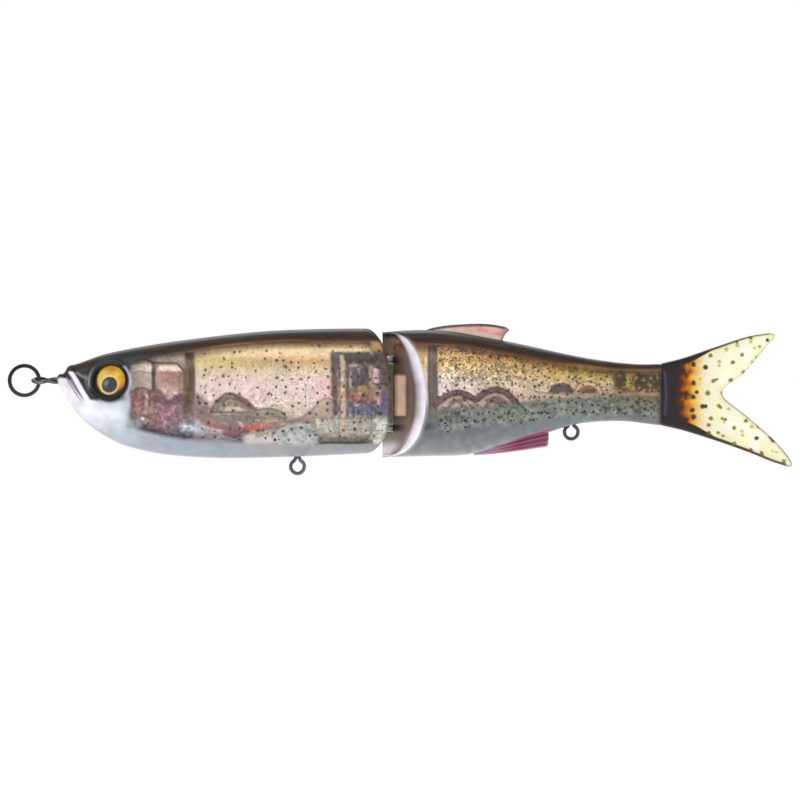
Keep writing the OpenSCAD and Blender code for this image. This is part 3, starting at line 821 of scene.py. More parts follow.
def paint_front(co, part, share):
    x, y, z = co.T
    p = Paint(x, z)
    flank = (part == 0)
    depth = front.top(x) - z
    belly = line_at(FRONT_BELLY, x)
    # pearl belly and head
    pearl = ramp(x, [(4, (220, 218, 228)), (12, (204, 208, 217)), (20, (178, 184, 192)),
                     (27, (158, 162, 174)), (36, (150, 153, 166)), (48, (144, 149, 153)),
                     (60, (144, 145, 148)), (70, (136, 137, 140)), (90, (136, 137, 140))])
    # painted shade: the pearl is darker towards the bottom edge and lighter above
    pearl *= ramp(z - front.bottom(x), [(0, (0.94,) * 3), (3, (1.0,) * 3), (7, (1.04,) * 3)])
    pearl = np.minimum(pearl * (1 + 0.10 * (noise(x, z, 3.0, 7) - 0.5))[:, None], 255)
    edge = np.where(x > 70, 0.5, 1.4)
    p.lay(pearl, smooth(edge / 2, -edge / 2, z - belly))
    ragged = mix(1.0, 4.2, smooth(-1.5, -4.0, z)) * (noise(x, z * 0.7, 1.5, 9) - 0.5)
    head = smooth(25.4, 21.0, x + ragged)
    p.lay(pearl, head)
    p.soft((240, 243, 250), [(9, -5), (14, -8), (19, -8.5)], 2.2, 0.5)
    p.lay((118, 120, 136), 0.5 * bump(z - front.bottom(x) - 0.3, 0.6) * smooth(8, 16, x))
    # below the organs the flank clouds over, with a rounded lump before the hinge block
    grit = noise(x, z, 0.7, 16)
    low = smooth(50.6, 52.6, x) * smooth(70.3, 69.9, x)
    p.lay((202, 194, 188), 0.8 * low * smooth(-12.8, -14.4, z + 2.0 * (grit - 0.5))
          * smooth(-16.6, -15.2, z))
    p.blot((162, 167, 164), LUMP, 1.2, 0.8)
    p.stroke((186, 188, 182), LUMP[1:6], 0.5, 0.7, 0.6)
    p.stroke((96, 106, 110), LUMP[6:], 0.6, 0.4, 0.8)
    p.lay((104, 118, 116), 0.6 * smooth(0.5, 0.75, grit) * smooth(0.4, -0.6, signed(x, z, LUMP)))
    p.lay((182, 184, 178), 0.5 * smooth(0.4, 0.2, grit) * smooth(0.4, -0.6, signed(x, z, LUMP)))
    p.lay((146, 152, 168), 0.6 * bump(z + 15.1, 0.5) * smooth(52, 46, x) * smooth(36, 39, x))
    ring = np.hypot(x - EYE_CENTRE.x, z - EYE_CENTRE.z)
    p.blot((40, 40, 44), HEAD_DARK, 0.6)
    p.soft((26, 32, 48), [(19.8, 5.4), (21.6, 4.8), (22.6, 3.0)], 0.7, 0.8)
    p.soft((140, 146, 130), [(9.5, 1.9), (10.8, 1.1), (12.2, 0.5)], 0.33, 0.75)
    p.soft((120, 120, 128), [(11.9, 1.4), (11.8, -0.4), (12.6, -2.2)], 0.25, 0.5)
    # crescents either side of the eye, and painted shadow below it
    crescent = 0.9 * bump(ring - 5.15, 0.33)
    p.lay((158, 156, 168), crescent * smooth(14.8, 13.8, x) * smooth(-2.2, -0.8, z) * smooth(5.0, 3.8, z))
    p.lay((212, 206, 220), crescent * smooth(20.6, 21.6, x) * smooth(4.6, 3.2, z) * smooth(-4.4, -3.0, z))
    # painted shadow of the eye socket, just under the eye
    p.soft((78, 74, 68), [(15.6, -4.7), (18.4, -5.1), (21.4, -4.4)], 0.75, 0.75)
    # mouth: dark corner, violet stripe, white lip
    jaw = smooth(0.25, -0.15, beyond(MOUTH, x, z)) * smooth(12.6, 11.4, x) * smooth(-8, -6, z)
    p.lay((226, 220, 228), jaw)
    p.lay((222, 206, 220), 0.6 * jaw * bump(distance(x, z, [(6.2, 0.2), (8.2, -2.6), (10.4, -5.4)]), 0.6))
    level = smooth(-6.0, -3.4, z)
    p.lay((128, 116, 136), level * smooth(0.66, 0.36, distance(x, z, STRIPE) + 0.06 * np.maximum(-z, 0)))
    p.lay((236, 232, 240), level * smooth(0.66, 0.42, distance(x, z, LIP)))
    p.lay((84, 78, 90), 0.8 * level * smooth(0.2, 0.08, distance(x, z, MOUTH)))
    p.stroke((34, 32, 44), [(6.6, 2.2), (7.0, 1.4), (7.6, 0.6)], 0.9, 0.6)
    p.stroke((38, 36, 44), [(4.4, 1.75), (5.4, 1.5), (6.6, 0.9)], 0.62, 0.4)
    p.lay((34, 30, 26), bump(ring - 4.7, 0.4))
    # back
    width = line_at(BAND, x)
    back_band(p, depth, x, width, smooth(30, 44, x))
    p.lay((38, 37, 37), smooth(width + 1.9, width + 1.3, depth) * smooth(29, 22, x) * smooth(12, 15, x))
    gold = smooth(82.6, 84.2, x) * smooth(width + 0.2, width + 1.0, depth)
    p.lay((176, 134, 84), 0.9 * gold * smooth(6.4, 7.4, z))
    hinge_print(p, x, z, 0.92 * smooth(83.6, 84.4, x) * smooth(8.2, 7.0, z) * smooth(-16.2, -15.6, z))
    # ends: the notch is dark at the top, smoky below
    notch = part == 2
    smoke = Paint(x, z)
    smoke.lay((120, 108, 96), 0.35)
    smoke.lay((60, 44, 34), smooth(3.5, 5.5, z - 4))
    smoke.lay((200, 196, 190), 0.8 * smooth(-14, -16, z))
    p.rgb = np.where(notch[:, None], smoke.rgb, p.rgb)
    p.a = np.where(notch, smoke.a, p.a)
    # painted shade along the rear edge of the front section: dark near the back, brown lower down
    rear_edge_shade = smooth(0.9, 0.2, front.end(y) - x) * flank
    p.lay((60, 48, 36), 0.8 * rear_edge_shade * smooth(5.5, 8.0, z))
    p.lay((120, 105, 80), 0.45 * rear_edge_shade * smooth(-13, -10, z) * smooth(8, 5, z))
    hide_inside(p, part)
    # spots lie on the clear flank and fade over the belly and the back
    density = 0.66 * smooth(38.8, 41, x) * smooth(width + 1.2, width + 2.2, depth) * smooth(-1.0, 0.8,
                                                                                            z - belly)
    return p, np.where(flank, density, 0)


FRONT_U = stations([4.4, 13, 40, 82.4], [0.2, 0.3, 0.45])
FRONT_CAPS = (np.linspace(0, 1, 5)[:-1], np.linspace(0, 1, 22)[:-1] ** 0.85)


def eye_matrix(side):
    turn = Matrix.Rotation(math.radians(-13), 4, "Z") @ Matrix.Rotation(math.radians(78), 4, "X")
    m = Matrix.Translation(EYE_CENTRE) @ turn
    return m if side > 0 else Matrix.Diagonal((1, -1, 1, 1)) @ m


def eye_socket(side):
    return [lathe("socket", [(0, -1.25), (4.5, -1.25), (4.5, 6), (0, 6)], eye_matrix(side), 96)]


def make_shells(body, section, u, levels, ends, relief, cutters, painter):
    outer, inner, tags = half_shell(section, u, levels, ends, relief)
    for name, side in SIDES:
        shell, co, part, share = cut_shell(f"{body}_skin_{name}", outer, inner, tags, side, cutters(side))
        paint, density = painter(co, part, share)
        set_paint(shell, paint)
        set_value(shell, "spots", density)
        place(shell, body, "clear_shell", SHELL, f"{body}_shell_{name}")


# ---------------------------------------------------------------- rear shell

REAR_BELLY = [(98, -12), (102, -11.4), (108, -10.6), (116, -9.8), (125, -8.6), (134, -7.8), (146, -7.6),
              (150, -7.7), (157, -7.8)]
WHITE_RIM = 0.74


def rear_shape(grid, part, share):
    wedge = part == 1
    lean_in = smooth(WHITE_RIM + 0.07, WHITE_RIM - 0.05, share)
    dished = np.where(wedge, -0.6 * lean_in * smooth(0.02, 0.2, share), seam(grid))
    return dished + rim(part, share, grid, rear, (0.5, 0.15), 1.0)


def paint_rear(co, part, share):
    x, y, z = co.T
    p = Paint(x, z)
    top, low = rear.top(x), rear.bottom(x)
    depth = top - z
    belly = line_at(REAR_BELLY, x) + 1.0 * (noise(x, z, 3.0, 12) - 0.5)
    flank = part == 0
    pearl = ramp(z - low, [(0, (128, 129, 132)), (3, (112, 117, 120)), (6, (92, 99, 104)),
                           (9, (82, 86, 92))])
    later = ramp(x, [(97, (120, 118, 120)), (120, (96, 102, 104)), (134, (108, 113, 115)),
                     (150, (100, 104, 106))])
    pearl = mix(pearl, later, smooth(108, 130, x)[:, None])
    pearl = pearl * (1 + 0.16 * (noise(x, z, 1.4, 14) - 0.5))[:, None]
    p.lay(pearl, smooth(1.4, -1.0, z - belly))
    # greenish mottling over the edge of the belly
    level = mix(2.2, 1.8, smooth(110, 124, x))
    zone = smooth(level + 1.2, level - 0.6, np.abs(z - belly - 1.0)) * smooth(98, 102, x)
    fleck = mix(noise(x, z, 0.75, 15), noise(x, z, 0.4, 20), 0.4)
    p.lay((124, 131, 122), 0.65 * zone)
    p.lay((152, 156, 138), 0.5 * zone * smooth(0.42, 0.22, fleck))
    p.lay((52, 62, 58), 0.85 * zone * smooth(0.56, 0.72, fleck))
    # fins' roots are blushed
    fan = np.sin(np.degrees(np.arctan2(z + 19.6, x - 103)) * 2.1)
    blush = smooth(0.9, -0.9, signed(x, z,
                                     [(110, -20), (114, -17.0), (120, -14.6), (128.6, -11.6), (129, -20)]))
    p.lay((140, 108, 128), 0.8 * blush)
    p.lay((112, 44, 76), 0.85 * blush * smooth(117, 123, x) * smooth(-0.6, 0.5, fan))
    # the last centimetre is smoky over the socket
    smoky = smooth(143.8, 145.8, x + 1.6 * (fleck - 0.5)) * smooth(-5.0, -3.4, z)
    bars = noise(x, z * 0.4, 1.3, 17)
    p.lay(ramp(x, [(144.4, (66, 54, 28)), (146.6, (74, 62, 34)), (147.8, (150, 132, 70)),
                   (149.2, (132, 112, 58)), (150.4, (62, 54, 34)), (152.2, (92, 74, 40)),
                   (154, (128, 100, 56)), (155.6, (84, 64, 40))]), 0.93 * smoky)
    p.lay((40, 34, 22), 0.75 * smoky * smooth(0.5, 0.75, bars))
    p.lay((34, 28, 18), 0.6 * smoky * smooth(0.5, 0.7, fleck))
    p.lay((178, 152, 80), 0.5 * smoky * p.grain(0.45, 0.2, 0.6, 18) * smooth(4.5, 2.5, z))
    p.lay((168, 128, 116), 0.7 * smoky * bump(z + 3.5, 0.7))
    p.lay((102, 98, 72), 0.6 * smooth(143, 147, x) * smooth(-3.6, -4.4, z) * smooth(-8.4, -6.0, z))
    p.lay((56, 56, 44), 0.8 * smooth(143, 147, x) * bump(z + 5.6, 2.2) * smooth(0.52, 0.7, fleck))
    p.lay((74, 60, 50), 0.5 * smooth(154.6, 155.8, x))
    p.lay((34, 32, 34), smooth(155.7, 156.2, x))
    band = line_at([(90, 2.8), (97, 3.4), (103, 3.0), (108, 2.7), (118, 2.6), (128, 2.4), (138, 1.5),
                    (150, 1.1), (157, 1.0)], x)
    p.lay(ramp(x, [(126, (132, 98, 52)), (140, (116, 88, 50)), (146, (82, 64, 40))])
          * mix(0.7, 1.2, fleck)[:, None], 0.92 * smooth(126, 134, x)
          * smooth(band + 1.9, band + 1.1, depth + 0.4 * (fleck - 0.5)))
    back_band(p, depth, x, band)
    # end faces
    wedge = part == 1
    face = Paint(x, z)
    face.lay(ramp(z, [(-16, (178, 172, 166)), (-13, (138, 130, 122)), (-9, (104, 92, 84)), (0, (90, 76, 66)),
                      (4, (84, 68, 56)), (8, (112, 78, 58)), (11.5, (70, 52, 40))]), 0.72)
    face.lay((168, 122, 96), 0.5 * face.grain(0.5, 0.8, 0.9, 31) * smooth(6, 8, z))
    face.lay((226, 220, 222), smooth(-14.5, -17, z))
    bar = smooth(0.25, -0.25, np.abs(x - 90.75) - 1.4) * smooth(0.3, -0.3, np.abs(z + 3.75) - 5.1)
    face.lay(ramp(x, [(89.2, (206, 160, 136)), (90.4, (255, 222, 196)), (92.3, (226, 180, 158))]), 0.95
             * bar)
    # the hinge eyes in their slots, painted dark: the plates and the shade round them
    for level in (UPPER_EYE_Z, LOWER_EYE_Z):
        face.lay((32, 26, 22), 0.85 * smooth(0.3, -0.3, np.abs(x - 90.2) - 1.9)
                 * smooth(0.25, -0.25, np.abs(z - level) - 0.8))
    inner = np.interp(z, [-14, -9, -1, 3], [0.60, 0.74, 0.74, 0.66])
    face.lay((134, 110, 104), 0.7 * smooth(inner - 0.3, inner, share) * smooth(9, 6, z) * (1 - bar))
    # pale rim with painted light: shaded brown at its inner side, lit white towards the outer edge
    edge = smooth(inner - 0.04, inner + 0.24, share)
    face.lay(ramp(edge, [(0.0, (112, 92, 88)), (0.5, (170, 162, 166)), (1.0, (222, 216, 224))]),
             smooth(0, 0.4, edge))
    face.lay((64, 54, 48), smooth(10.2, 12.0, z) * smooth(1.0, 0.9, share))
    p.rgb = np.where(wedge[:, None], face.rgb, p.rgb)
    p.a = np.where(wedge, face.a, p.a)
    # painted highlight: the pale front rim of the flank lit white, as on the wedge rim
    front_rim_highlight = smooth(1.0, 0.25, x - rear.start(y)) * flank
    p.lay((228, 222, 230), front_rim_highlight * smooth(11.5, 10, z))
    p.lay((40, 38, 40), (part == 2) * 1.0)
    hide_inside(p, part)
    density = (0.95 + 0.2 * smooth(104, 116, x)) * smooth(band + 0.6, band + 1.4, depth) * smooth(-2.2, -0.6,
                                                                                                  z - belly)
    return p, np.where(flank, density * smooth(99.5, 101.5, x), 0)


REAR_U = stations([86.3, 100, 156.6], [0.42, 0.45])
REAR_CAPS = (np.linspace(0, 1, 36)[:-1] ** 0.85, np.linspace(0, 1, 9)[:-1])


def hinge_slots(side):
    """Room for the two hinge eyes: the shape that each sweeps as the rear section swings."""
    r, half, reach = 2.35, 1.55, 8.0
    swept = []
    for a in np.radians([-35, -17, 0, 17, 35]):
        for s in (-1, 1):
            swept.append((-reach * math.cos(a) - s * half * math.sin(a),
                          -reach * math.sin(a) + s * half * math.cos(a)))
    swept.sort(key=lambda q: math.atan2(q[1], q[0] + 20))
    back = [(r * math.cos(t), r * math.sin(t)) for t in np.radians(np.linspace(110, -110, 17))]
    outline = [(HINGE_X + q[0], q[1]) for q in swept + back]
    return [prism("slot", outline, z - SLOT_HALF, z + SLOT_HALF, bevel=0)
            for z in (UPPER_EYE_Z, LOWER_EYE_Z)]


# ---------------------------------------------------------------- printed foils

PLATE_1 = [(23.2, 3.4), (24.2, 4.6), (25.8, 5.0), (27.3, 4.7), (28.7, 3.5), (28.5, -2.3), (26.2, -1.5),
           (24.6, -1.7), (23.2, -2.6), (22.6, 0)]
PLATE_2 = [(29.7, 3.2), (31.2, 3.9), (34.8, 3.7), (36.1, 2.5), (36.3, -2.9), (34.2, -3.7), (32.7, -4.6),
           (31.3, -3.0), (29.6, -1.7), (29.3, 1.0)]
GILLS = [(23.4, -3.0), (25.4, -1.8), (27.6, -1.8), (29.5, -2.9), (31.3, -3.9), (32.7, -5.0), (36.4, -3.2),
         (36.6, -6.6), (35.2, -9.6), (32.6, -12.6), (28.6, -13.2), (25.4, -11.4), (23.6, -8.4), (22.8, -5.4)]
ORGAN = smoothed([(43.2, -8.4), (44.0, -6.3), (45.8, -4.3), (47.5, -3.3), (50, -3.8), (52.3, -5.1),
                  (54.6, -7.4)])
LEAF = smoothed([(54.2, -7.6), (57.4, -7.0), (60, -7.4), (61.8, -8.6), (62.1, -9.5), (59.5, -9.9),
                 (56.9, -10.2), (54.2, -9.2)])


def front_print(x, z):
    p = Paint(x, z)
    p.lay(ramp(z, [(-14, (182, 174, 170)), (-12, (176, 166, 156)), (-10, (176, 158, 150)),
                   (-8, (206, 186, 170)), (-6, (214, 196, 184)), (-4, (226, 204, 200)),
                   (-2, (224, 202, 198)), (0, (226, 206, 196)), (2, (222, 203, 180)), (4, (204, 180, 136)),
                   (5, (188, 162, 112)), (6, (232, 202, 156)), (7, (242, 214, 170)), (8, (255, 226, 180)),
                   (9, (240, 196, 140)), (10.5, (170, 116, 74))]), 1)
    p.lay((226, 210, 118), 0.55 * bump(z - 4.4, 1.2) * smooth(58, 42, x) * smooth(39, 41, x))
    p.lay((228, 178, 122), 0.45 * bump(z - 5.0, 1.3) * smooth(56, 66, x))
    p.lay((232, 202, 208), 0.5 * p.grain(0.42, 0.7, 5.0, 3) * smooth(4, 0, z))
    p.speckle(0.22, 0.5, 21)
    p.speckle(0.16, 1.6, 22)
    p.speckle(0.22, 1.3, 24, (4, 0.6))
    for i, (cx, cz) in enumerate([(41.2, 0.6), (42.6, 1.3), (44.4, 0.2), (41.6, -2.0), (43.4, -2.8),
                                  (46.2, 1.2), (48.2, -0.6), (53.6, -4.2), (56.2, -5.6)]):
        p.stroke((138, 112, 108), [(cx, cz), (cx + 0.5, cz + 0.9 - 0.2 * (i % 3))], 0.55, 0.5, 0.7)
    # organs behind the gills
    p.blot((132, 116, 106), ORGAN, 0.5)
    p.blot((136, 120, 110), [(40, -6.6), (43.2, -8.6), (54.6, -7.6), (62, -9.4), (60, -11.4), (55, -13.2),
                             (49, -12.9), (43, -11.6), (40.4, -9.8)], 0.9)
    p.blot((158, 142, 128), [(45.4, -6.6), (47.4, -4.9), (49.4, -5.0), (52.6, -7.4), (46, -7.7)], 0.6, 0.8)
    p.stroke((104, 88, 80), ORGAN, 0.75, 0.4)
    p.stroke((132, 72, 74), [(49.6, -4.3), (51.4, -5.0), (53.4, -6.6)], 0.9, 0.5, 0.9)
    p.blot((146, 134, 122), LEAF, 0.4)
    p.stroke((104, 90, 82), LEAF, 0.45, 0.35)
    for lift in (0.0, 0.9):
        p.stroke((108, 96, 88), [(45.0, -8.0 - lift), (48.4, -7.9 - lift), (52.5, -8.2 - lift),
                                 (57.4, -8.6 - lift), (61, -8.9)], 0.3, 0.3, 0.8)
    p.stroke((96, 76, 74), [(49.2, -9.3), (50.8, -10.3), (52.6, -9.2), (54.8, -10.4), (57, -9.8)], 0.35, 0.3,
             0.8)
    p.stroke((150, 100, 104), [(41, -10.6), (44.6, -11.4), (48.4, -11.9), (52, -12.4)], 1.5, 0.7, 0.9)
    p.stroke((196, 92, 84), [(51.2, -12.3), (54, -12.2), (56.4, -11.6)], 1.7, 0.7, 0.95)
    p.stroke((178, 118, 112), [(56.2, -11.6), (58.6, -10.8), (60.8, -10.2)], 1.3, 0.7, 0.85)
    p.stroke((128, 92, 108), [(46.6, -13.4), (49, -13.9), (51.6, -13.4)], 1.2, 0.8, 0.8)
    p.stroke((124, 112, 112), [(47.4, -9.6), (49.4, -9.4), (50.8, -10.8)], 1.5, 0.9, 0.8)
    p.stroke((168, 166, 180), [(39.4, -10.8), (41.4, -12.6), (44, -13.4)], 1.8, 1.6, 0.8)
    p.stroke((112, 98, 104), [(39.0, -6.8), (40.4, -7.6), (42.2, -6.8), (41.6, -8.6)], 0.9, 0.7, 0.85)
    p.stroke((150, 126, 104), [(62, -10.6), (66.2, -9.4), (68.8, -7.4), (70.6, -5.2), (72.6, -4.5),
                               (74.2, -5.3)], 0.75, 0.6, 0.9)
    p.blot((150, 128, 116), [(62.4, -10.2), (66.6, -9.2), (69.2, -6.6), (73.5, -4.6), (73.5, -9.4),
                             (69, -10.8)], 0.9, 0.6)
    p.glow((238, 176, 192), 71.2, -1.8, 1.8, 2.0, 0.6)
    lower = smooth(-3.2, -4.4, z) * smooth(66, 62, x)
    p.speckle(0.7 * lower, 0.5, 27, (1, 1.6))
    p.speckle(0.5 * lower, 0.8, 28, (0.5, 2))
    p.blot((116, 88, 96), [(38.4, -2.6), (40.4, -3.2), (42.2, -5.2), (44.4, -7.2), (43.4, -9.2),
                           (39.6, -9.8), (38.0, -7)], 1.6, 0.8)
    p.stroke((92, 70, 60), [(43.4, -8.05), (48, -8.0), (54.6, -7.9)], 0.35, 0.3, 0.85)
    for r in (0.75, 0.5):
        ring = [(49.0 + (q[0] - 49.0) * r, -8.0 + (q[1] + 8.0) * r) for q in ORGAN]
        p.stroke((98, 80, 72), ring, 0.4, 0.35, 0.8)
    p.blot((212, 194, 172), [(46.4, -7.6), (47.6, -6.6), (50.6, -6.6), (52.0, -7.6)], 0.5, 0.85)
    p.stroke((70, 46, 44), [(49.8, -4.1), (51.6, -5.4), (53.8, -7.2)], 0.5, 0.4, 0.8)
    p.blot((122, 104, 98), [(47.6, -10.6), (48.6, -9.7), (50.0, -9.9), (50.5, -11.2), (49.2, -12.2),
                            (47.9, -11.8)], 0.5, 0.8)
    p.stroke((214, 186, 184), [(50.4, -10.4), (51.2, -11.4)], 0.7, 0.5, 0.8)
    p.stroke((206, 178, 170), [(54.6, -10.0), (58.2, -10.2), (61.0, -9.9)], 0.4, 0.4, 0.8)
    p.stroke((128, 78, 96), [(47.2, -12.8), (49.4, -13.4), (51.4, -13.2)], 2.0, 0.9, 0.75)
    # head: base behind the plates, bones, gills
    head = smooth(39.6, 38.8, x)
    p.lay(ramp(z, [(-14, (150, 148, 160)), (-12, (126, 118, 130)), (-8, (140, 114, 114)),
                   (-3, (124, 98, 92)), (2, (120, 96, 84)), (5, (170, 156, 142)), (7.5, (196, 178, 156)),
                   (9, (120, 90, 66))]), head)
    p.lay((92, 82, 68), 0.8 * head * bump(z - 6.2, 0.55) * p.grain(0.35, 0.6, 1.4, 41))
    p.blot((150, 108, 108), GILLS, 0.6)
    p.lay((196, 138, 164), 0.85 * head * bump(np.hypot(x - 32.4, (z + 9.4) * 0.8), 2.6))
    p.lay((178, 118, 110), 0.7 * head * bump(np.hypot(x - 25, (z + 6.2) * 0.7), 1.4))
    p.stroke((112, 64, 84), [(29.4, -4.6), (32.8, -6.0), (36.3, -4.3)], 1.8, 1.0, 0.85)
    p.stroke((118, 88, 82), [(23.4, -3.2), (25.4, -1.9), (27.6, -1.9), (29.5, -3.4), (30.7, -5.6)], 0.45,
             0.35)
    for k in range(6):
        p.stroke((126, 76, 92), [(29.6 + k, -6.8 - 0.2 * k), (30.8 + 0.9 * k, -9.2 - 0.2 * k),
                                 (30 + k, -11.4)], 0.28, 0.3, 0.55)
    p.stroke((112, 92, 110), [(25.6, -12.3), (29, -11.4), (33, -9.2), (36, -6.2)], 0.8, 0.8, 0.7)
    p.stroke((104, 90, 106), [(27, -12.7), (31.4, -12.4), (34.4, -10.8)], 0.9, 0.9, 0.8)
    p.blot((206, 186, 178), PLATE_1, 0.4)
    p.blot((222, 204, 190), [(23.2, 3.4), (24.2, 4.6), (25.8, 5.0), (27.3, 4.7), (28.7, 3.5), (28.6, 1.7),
                             (25.4, 2.5), (23.2, 2.0)], 0.5)
    p.stroke((170, 142, 138), [(23.2, 1.8), (25.4, 2.4), (28.5, 1.7)], 0.4, 0.5, 0.8)
    p.blot((196, 158, 152), PLATE_2, 0.4)
    p.blot((228, 208, 196), [(29.6, 2.3), (30.4, 3.6), (34.8, 3.7), (35.9, 2.7), (35.4, 2.3)], 0.5)
    p.blot((218, 184, 180), [(30.4, -0.6), (35.4, -0.8), (34.8, -3.2), (32.7, -4.3), (31.2, -2.8)], 0.8)
    p.stroke((134, 104, 94), [(35.6, 1.6), (35.5, -0.6)], 0.9, 0.8, 0.8)
    p.stroke((78, 62, 56), [(28.9, 4.4), (28.9, -2.2)], 1.0, 0.4)
    p.stroke((62, 52, 44), [(24.0, 4.9), (26.6, 5.5), (28.8, 4.4), (31.2, 4.4), (34.7, 4.3), (36.4, 2.6)],
             0.5, 0.35)
    p.stroke((212, 194, 176), [(29.2, 5.6), (33, 5.9), (37.2, 5.8)], 1.3, 0.9, 0.9)
    p.stroke((196, 172, 160), [(27.3, -3.6), (26.9, -8.4)], 0.7, 0.5, 0.9)
    p.stroke((74, 60, 58), [(28.0, -2.4), (27.8, -6.4)], 0.4, 0.3, 0.8)
    ball = np.hypot(x - 26.5, z + 10.2)
    p.lay((104, 82, 80), smooth(1.7, 1.3, ball))
    p.lay((176, 156, 150), smooth(1.15, 0.6, np.hypot(x - 26.8, z + 10.1)))
    p.lay((230, 222, 222), smooth(0.7, 0.2, np.hypot(x - 26.1, z + 9.5)))
    p.stroke((94, 70, 42), [(37.8, 6.2), (38.3, 1.5), (38.2, -3.0), (37.4, -7.2)], 2.3, 0.6, 0.95)
    p.lay((58, 42, 26), head * 0.8 * bump(x - 38.2, 1.3) * smooth(7, 5, z) * smooth(-9, -6, z)
          * smooth(0.52, 0.7, noise(x * 1.2, z * 0.7, 0.8, 29)))
    p.stroke((140, 116, 90), [(37.4, 3.6), (37.5, -1.5)], 0.5, 0.5, 0.7)
    p.stroke((200, 206, 222), [(36.8, -11.6), (39.4, -12.4)], 2.0, 1.8, 0.8)
    # window over the hinge block
    window = smooth(73.0, 73.6, x) * smooth(7.6, 6.8, z) * smooth(-15.9, -15.5, z)
    low = smooth(69.4, 69.9, x) * smooth(-9.0, -9.5, z)
    hinge_print(p, x, z, np.maximum(window, low))
    p.a = p.a * mix(1.0, 0.9, window)
    glitter = 0.12 + 0.3 * smooth(48, 66, x) * smooth(5.5, 2, z) * smooth(-8, -4, z) * smooth(74, 70, x)
    p.rgb *= mix(mix(0.76, 1.1, smooth(1.9, 2.8, z)), 1.0, smooth(38.6, 39.6, x))[..., None]
    p.lay((146, 102, 94), 0.45 * smooth(4.4, 1.4, np.hypot(x - 34, z - 0.6)) * smooth(2.6, 1.9, z))
    rough = mix(0.6, 1.5, smooth(-1.5, -3.5, z)) * mix(1.0, 0.0, smooth(38.6, 39.6, x))
    p.speckle(rough, 0.5, 25)
    return p, 0.6 * glitter * smooth(37, 41, x) + 0.06


def rear_print(x, z):
    p = Paint(x, z)
    top, low = rear.top(x), rear.bottom(x)
    s = (z - low) / (top - low)
    p.lay(ramp(s, [(0.15, (120, 124, 126)), (0.27, (112, 116, 120)), (0.36, (150, 142, 132)),
                   (0.44, (196, 178, 164)), (0.52, (206, 188, 176)), (0.60, (206, 187, 160)),
                   (0.68, (200, 172, 124)), (0.76, (198, 166, 112)), (0.84, (206, 160, 108)),
                   (0.91, (160, 114, 72)), (1.0, (80, 56, 40))]), 1)
    p.lay((172, 138, 80), 0.6 * smooth(120, 132, x) * bump(s - 0.48, 0.12))
    p.lay((222, 204, 206), 0.75 * smooth(120, 104, x) * bump(s - 0.56, 0.1))
    p.glow((214, 190, 70), 134.5, 2.2, 4.5, 1.5, 0.4)
    p.glow((206, 170, 146), 121.5, -3.6, 3.2, 2.2, 0.5)
    p.speckle(0.7, 0.42, 61)
    p.speckle(0.3, 1.3, 62)
    olive = p.grain(0.56, 0.72, 0.85, 67) * smooth(0.5, 0.6, s) * smooth(99.6, 101, x)
    p.lay((104, 84, 36), 0.45 * olive)
    p.rgb *= np.interp(x, [100, 106, 112, 122, 134], [1.2, 1.14, 1.04, 1.08, 1.3])[..., None]
    p.lay((224, 190, 60), 0.5 * smooth(122, 130, x) * smooth(146, 141, x) * bump(s - 0.74, 0.13)
          * p.grain(0.35, 0.6, 1.2, 63))
    # dark end band, arches, domes and the line between them
    p.lay((196, 160, 106), 0.8 * smooth(98, 97, x) * smooth(5, 7, z))
    p.stroke((78, 56, 54), [(98.8, 8.0), (98.9, -8.4)], 2.5, 0.5, 0.95)
    p.speckle(1.6 * bump(x - 98.9, 2.2), 1.0, 66, (3.4, 0.4))
    p.stroke((64, 50, 50), [(99.9, 7.6), (100.0, -6.6)], 0.5, 0.4, 0.7)
    arches = [smoothed([(99.6, -6.2), (101.6, -4.3), (104.9, -3.0), (107.6, -3.7), (109.6, -5.0)]),
              smoothed([(109.6, -5.0), (111.6, -3.3), (114.5, -2.3), (117.2, -3.0), (119.2, -4.8),
                        (120.3, -6.8)])]
    for a in arches:
        p.blot((104, 74, 74), a, 0.5, 0.9)
    for k, a in enumerate(arches):
        inner = [(mix(q[0], 104.6 + 10.4 * k, 0.16), q[1] - 1.25) for q in a]
        core = [(mix(q[0], 104.6 + 10.4 * k, 0.42), q[1] - 2.3) for q in a]
        p.stroke((76, 42, 48), a, 1.6, 0.4, 0.97)
        p.stroke((150, 100, 104), a, 0.35, 0.4, 0.6)
        p.stroke((190, 156, 142), inner, 0.6, 0.4, 0.9)
        p.stroke((112, 68, 74), core, 0.9, 0.5, 0.85)
    p.blot((48, 34, 33), smoothed([(127.6, -3.2), (129.1, -1.3), (131.6, -0.5), (133.7, -1.4),
                                   (134.8, -3.1)]), 0.5, 0.9)
    dome = smoothed([(134.9, -3.2), (135.8, -1.5), (137.9, -0.8), (140.0, -1.5), (141.2, -3.2)])
    p.blot((122, 92, 54), dome, 0.5, 0.9)
    p.stroke((90, 66, 40), [(q[0] + 0.14 * (q[0] - 138), q[1] + 0.55) for q in dome], 0.5, 0.4, 0.8)
    p.stroke((226, 184, 146), dome, 0.75, 0.3, 0.95)
    p.blot((104, 66, 40), smoothed([(136.2, -3.3), (136.9, -2.3), (138.1, -1.9), (139.4, -2.4),
                                    (140, -3.3)]), 0.5, 0.9)
    p.stroke((150, 120, 124), [(125, -3.0), (129, -3.3), (141, -3.7), (146, -3.5)], 0.6, 0.5, 0.75)
    dusky = smooth(0.42, 0.34, s + 0.06 * (noise(x, z, 1.6, 64) - 0.5))
    p.lay((110, 114, 112), 0.7 * dusky)
    p.lay((70, 62, 42), 0.8 * smooth(144.6, 146, x) * smooth(-3.4, -1.8, z))
    p.glow((168, 148, 96), 146.8, -1.4, 1.2, 1.6, 0.7)
    glitter = 0.14 + 0.58 * smooth(99, 102, x) * smooth(130, 116, x) * smooth(-1.5, 0.5, z)
    return p, glitter


